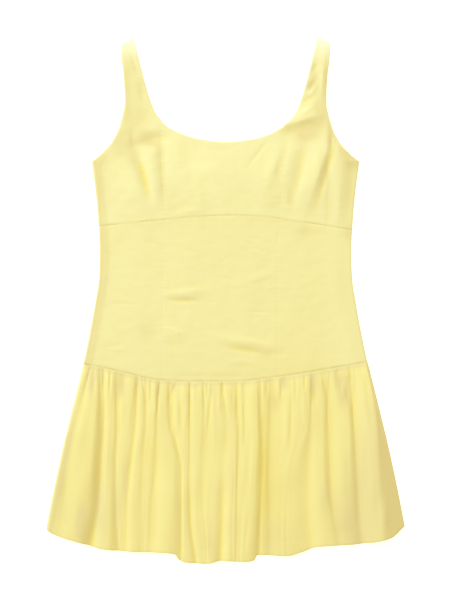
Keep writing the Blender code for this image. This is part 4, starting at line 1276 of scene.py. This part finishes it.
class DressCloth(bpy.types.PropertyGroup):
    """What the dress is made of."""

    colour_low: bpy.props.FloatVectorProperty(
        name="Deeper yellow", description="Colour of the thin places of the weave", subtype="COLOR", size=4,
        min=0.0, max=1.0, default=(0.84, 0.755, 0.385, 1.0),
    )
    colour_high: bpy.props.FloatVectorProperty(
        name="Paler yellow", description="Colour of the thick places of the weave", subtype="COLOR", size=4,
        min=0.0, max=1.0, default=(0.88, 0.81, 0.465, 1.0),
    )
    # Painted shade in the folds mixes towards this colour; the hem's thread has it as its own deeper yellow.
    colour_fold_shade_and_thread: bpy.props.FloatVectorProperty(
        name="Fold yellow", description="Colour deep in the folds", subtype="COLOR", size=4,
        min=0.0, max=1.0, default=(0.88, 0.71, 0.15, 1.0),
    )
    # Painted shade along the sides and in spots mixes towards this colour.
    colour_painted_shade: bpy.props.FloatVectorProperty(
        name="Doubled yellow", description="Colour where the cloth is doubled inside", subtype="COLOR",
        size=4, min=0.0, max=1.0, default=(0.77, 0.65, 0.31, 1.0),
    )
    # Colour of the highlight painted on the tops of the straps.
    colour_strap_highlight: bpy.props.FloatVectorProperty(
        name="Pale yellow", description="Colour of the tops of the straps", subtype="COLOR", size=4,
        min=0.0, max=1.0, default=(0.97, 0.94, 0.76, 1.0),
    )
    # How strongly shade is painted into the folds.
    fold_shade_strength: bpy.props.FloatProperty(
        name="Fold tint", description="How strongly the colour deepens in the folds", default=0.75, min=0.0,
        max=1.0,
    )
    roughness: bpy.props.FloatProperty(
        name="Roughness", description="Roughness of the cloth", default=0.8, min=0.0, max=1.0
    )
    sheen: bpy.props.FloatProperty(
        name="Sheen", description="Strength of the soft nap", default=0.15, min=0.0, max=1.0
    )
    thread_pitch: bpy.props.FloatProperty(
        name="Thread pitch", description="Distance between threads", default=0.0006, min=0.0001, unit="LENGTH"
    )
    slub_strength: bpy.props.FloatProperty(
        name="Slubs", description="How much thick and thin threads show", default=0.35, min=0.0, max=2.0
    )
    weave_strength: bpy.props.FloatProperty(
        name="Weave relief", description="Strength of the threads' relief", default=0.5, min=0.0, max=1.0
    )
    thickness: bpy.props.FloatProperty(
        name="Thickness", description="Thickness of the cloth", default=0.0008, min=0.0001, unit="LENGTH"
    )


class DressFolds(bpy.types.PropertyGroup):
    """How the dress lies."""

    bodice_step: bpy.props.FloatProperty(
        name="Bodice step", description="Size of the faces of the front bodice", default=0.0013, min=0.0008,
        unit="LENGTH",
    )
    skirt_step: bpy.props.FloatProperty(
        name="Skirt step", description="Size of the faces of the front skirt", default=0.002, min=0.001,
        unit="LENGTH",
    )
    back_step: bpy.props.FloatProperty(
        name="Back step", description="Size of the faces of the back", default=0.0028, min=0.001,
        unit="LENGTH",
    )
    crease_strength: bpy.props.FloatProperty(
        name="Creases", description="Strength of the finer creases", default=1.0, min=0.0, max=2.0
    )
    ripple_height: bpy.props.FloatProperty(
        name="Ripples", description="Height of the soft unevenness", default=0.00045, min=0.0, unit="LENGTH"
    )
    drape_strength: bpy.props.FloatProperty(
        name="Drape", description="Share by which lengthwise ripples change the skirt's folds", default=0.10,
        min=0.0, max=0.5,
    )


class DressStage(bpy.types.PropertyGroup):
    """The floor, the light and the camera."""

    floor_colour: bpy.props.FloatVectorProperty(
        name="Floor", description="Colour of the floor", subtype="COLOR", size=4, min=0.0, max=1.0,
        default=(0.93, 0.93, 0.93, 1.0),
    )
    floor_glow: bpy.props.FloatProperty(
        name="Floor glow", description="Light that the floor gives off, as a light table does", default=0.6,
        min=0.0,
    )
    floor_size: bpy.props.FloatProperty(
        name="Floor size", description="Width of the floor", default=14.0, min=1.0, unit="LENGTH"
    )
    sky_colour: bpy.props.FloatVectorProperty(
        name="Room colour", description="Colour of the light from all round", subtype="COLOR", size=4,
        min=0.0, max=1.0, default=(1.0, 0.89, 0.56, 1.0),
    )
    key_colour: bpy.props.FloatVectorProperty(
        name="Key colour", description="Colour of the light from above the neckline", subtype="COLOR", size=3,
        min=0.0, max=1.0, default=(0.64, 0.84, 1.0),
    )
    sky: bpy.props.FloatProperty(
        name="Room light", description="Strength of the even light from all round", default=0.765, min=0.0
    )
    key: bpy.props.FloatProperty(
        name="Key light", description="Power of the soft light from above the neckline, in watts",
        default=395.0, min=0.0,
    )
    view_height: bpy.props.FloatProperty(
        name="View height", description="Height of what the camera takes in", default=0.96, min=0.1,
        unit="LENGTH",
    )
    lens: bpy.props.FloatProperty(
        name="Lens", description="Focal length of the camera, in millimetres", default=85.0, min=10.0
    )


class SUNDRESS_OT_bust(bpy.types.Operator):
    """Lays the three bust panels, the side ones with their straps"""

    bl_idname = "sundress.bust"
    bl_label = "Bust Panels"

    def execute(self, context):
        folds = context.scene.sundress_folds
        step = folds.bodice_step / METRES
        x, y = four_sided(princess_right, princess_left, underbust, scoop, step)
        centre = patch_of(x, y, *front_bodice(x, y, folds), x, y)
        lay_cloth(context, "bust_centre", [centre])
        for wearer_side, line in (("left", princess_left), ("right", princess_right)):
            x, y = strap_strip(wearer_side, line, underbust, scoop, 0.0, step)
            panel = fold_over(patch_of(x, y, *front_bodice(x, y, folds), x, y))
            lay_cloth(context, f"bust_side_{wearer_side}", [panel])
        return {"FINISHED"}


class SUNDRESS_OT_midriff(bpy.types.Operator):
    """Lays the three midriff panels"""

    bl_idname = "sundress.midriff"
    bl_label = "Midriff Panels"

    def execute(self, context):
        folds = context.scene.sundress_folds
        lines = (lambda y: -side(y), princess_right, princess_left, side)
        names = ("midriff_side_right", "midriff_centre", "midriff_side_left")
        for name, first, last in zip(names, lines, lines[1:]):
            x, y = four_sided(first, last, waist, underbust, folds.bodice_step / METRES)
            panel = patch_of(x, y, *front_bodice(x, y, folds), x, y)
            lay_cloth(context, name, [panel])
        return {"FINISHED"}


class SUNDRESS_OT_skirt(bpy.types.Operator):
    """Gathers the front and the back of the skirt, and sews their hem"""

    bl_idname = "sundress.skirt"
    bl_label = "Skirt"

    def execute(self, context):
        folds = context.scene.sundress_folds
        columns = skirt_columns(folds.skirt_step / METRES)
        back_columns = np.linspace(0, 1, round(2 * SIDE[0][1] * METRES / folds.back_step) + 1)
        self.gather(context, "front", front_skirt, columns, folds.skirt_step, "skirt_back_cloth")
        self.gather(context, "back", back_skirt, back_columns, folds.back_step, "floor")
        return {"FINISHED"}

    def gather(self, context, name, surface, columns, step, rests_on):
        """One of the skirts, with its hem's stitches."""
        folds = context.scene.sundress_folds
        shares = np.linspace(1, 0, round(SKIRT_LENGTH * METRES / step) + 1) ** ROW_CROWDING
        x, y, z, fold_shade, painted_darkening = surface(columns, shares, folds)
        widths = np.hypot(np.diff(x, axis=1), np.diff(z, axis=1))[: len(shares) // 2].mean(axis=0)
        cut_x = np.concatenate([[0.0], np.cumsum(widths)])
        sewn = surface(columns, np.array([1 - HEM_DEPTH / SKIRT_LENGTH]), folds)[:3]
        stitches = sew(context, f"hem_stitches_{name}", np.stack([grid[0] for grid in sewn], axis=-1))
        patch = patch_of(x, y, z, fold_shade, painted_darkening, cut_x, y)
        lay_cloth(context, f"skirt_{name}", [patch])


class SUNDRESS_OT_bodice_back(bpy.types.Operator):
    """Lays the back bodice, in one piece with its two straps"""

    bl_idname = "sundress.bodice_back"
    bl_label = "Back Bodice"

    def execute(self, context):
        step = context.scene.sundress_folds.back_step / METRES

        def neck(x):
            return scoop(x) - BACK_SCOOP_DROP

        def right(y):
            return y * 0.0 - BACK_SPLIT

        def left(y):
            return y * 0.0 + BACK_SPLIT

        flats = [
            strap_strip("right", right, back_waist, neck, BACK_INSET, step),
            four_sided(right, left, back_waist, neck, step),
            strap_strip("left", left, back_waist, neck, BACK_INSET, step),
        ]
        patches = []
        for x, y in flats:
            lift = creased(x, y, BACK_CREASES) * ease((half_width(y) - np.abs(x)) / SIDE_EASE)
            patches.append(patch_of(x, y, BACK_TOP + lift, 0.0, 0.0, x, y))
        lay_cloth(context, "bodice_back", patches)
        return {"FINISHED"}


class SUNDRESS_OT_stage(bpy.types.Operator):
    """Sets out the floor, the light and the camera"""

    bl_idname = "sundress.stage"
    bl_label = "Floor, Light and Camera"

    def execute(self, context):
        stage = context.scene.sundress_stage
        self.lay_floor(context, stage)
        self.light(context, stage)
        self.set_camera(context, stage)
        context.scene.view_settings.view_transform = "Standard"
        context.scene.view_settings.look = "None"
        return {"FINISHED"}

    def lay_floor(self, context, stage):
        plane = bmesh.new()
        bmesh.ops.create_grid(plane, x_segments=1, y_segments=1, size=stage.floor_size / 2)
        bmesh.ops.translate(plane, verts=plane.verts[:], vec=(0.0, 0.0, -FLOOR_DROP * METRES))
        mesh = bpy.data.meshes.new("floor")
        plane.to_mesh(mesh)
        plane.free()
        glow = {"Emission Color": (1.0, 1.0, 1.0, 1.0), "Emission Strength": stage.floor_glow}
        paper = Finish("floor_paper", {"Base Color": stage.floor_colour, "Roughness": 0.9, **glow})
        mesh.materials.append(paper.material)
        floor = bpy.data.objects.new("floor", mesh)
        context.scene.collection.objects.link(floor)

    def light(self, context, stage):
        world = bpy.data.worlds.new("studio")
        world.use_nodes = True
        world.node_tree.nodes["Background"].inputs["Color"].default_value = stage.sky_colour
        world.node_tree.nodes["Background"].inputs["Strength"].default_value = stage.sky
        context.scene.world = world
        lamp = bpy.data.lights.new("key_light", "AREA")
        lamp.shape = "DISK"
        lamp.size = KEY_WIDTH
        lamp.energy = stage.key
        lamp.color = stage.key_colour
        lit = bpy.data.objects.new("key_light", lamp)
        lit.location = KEY_PLACE
        lit.rotation_euler = (-Vector(KEY_PLACE)).to_track_quat("-Z", "Y").to_euler()
        context.scene.collection.objects.link(lit)

    def set_camera(self, context, stage):
        lens = bpy.data.cameras.new("camera")
        lens.lens = stage.lens
        lens.sensor_width = SENSOR
        camera = bpy.data.objects.new("camera", lens)
        away = stage.view_height * stage.lens / SENSOR
        camera.location = (*AIM, AIM_HEIGHT + away)
        context.scene.collection.objects.link(camera)
        context.scene.camera = camera


class SUNDRESS_PT_dress(bpy.types.Panel):
    """Lists the pieces of the dress and what can be changed"""

    bl_idname = "SUNDRESS_PT_dress"
    bl_label = "Laid Sundress"
    bl_space_type = "VIEW_3D"
    bl_region_type = "UI"
    bl_category = "Sundress"

    def draw(self, context):
        for operator in OPERATORS:
            self.layout.operator(operator.bl_idname)
        for settings in SETTINGS:
            owner = getattr(context.scene, settings)
            box = self.layout.box()
            for name in owner.bl_rna.properties.keys():
                if name not in ("rna_type", "name"):
                    box.prop(owner, name)


SETTINGS = {"sundress_cloth": DressCloth, "sundress_folds": DressFolds, "sundress_stage": DressStage}
OPERATORS = (
    SUNDRESS_OT_bodice_back,
    SUNDRESS_OT_skirt,
    SUNDRESS_OT_midriff,
    SUNDRESS_OT_bust,
    SUNDRESS_OT_stage,
)


def register():
    for kind in (*SETTINGS.values(), *OPERATORS, SUNDRESS_PT_dress):
        bpy.utils.register_class(kind)
    for name, kind in SETTINGS.items():
        setattr(bpy.types.Scene, name, bpy.props.PointerProperty(type=kind))


def unregister():
    for name in SETTINGS:
        delattr(bpy.types.Scene, name)
    for kind in (SUNDRESS_PT_dress, *reversed(OPERATORS), *reversed(SETTINGS.values())):
        bpy.utils.unregister_class(kind)


def main():
    register()
    for operator in OPERATORS:
        getattr(bpy.ops.sundress, operator.bl_idname.split(".")[1])()


if __name__ == "__main__":
    main()
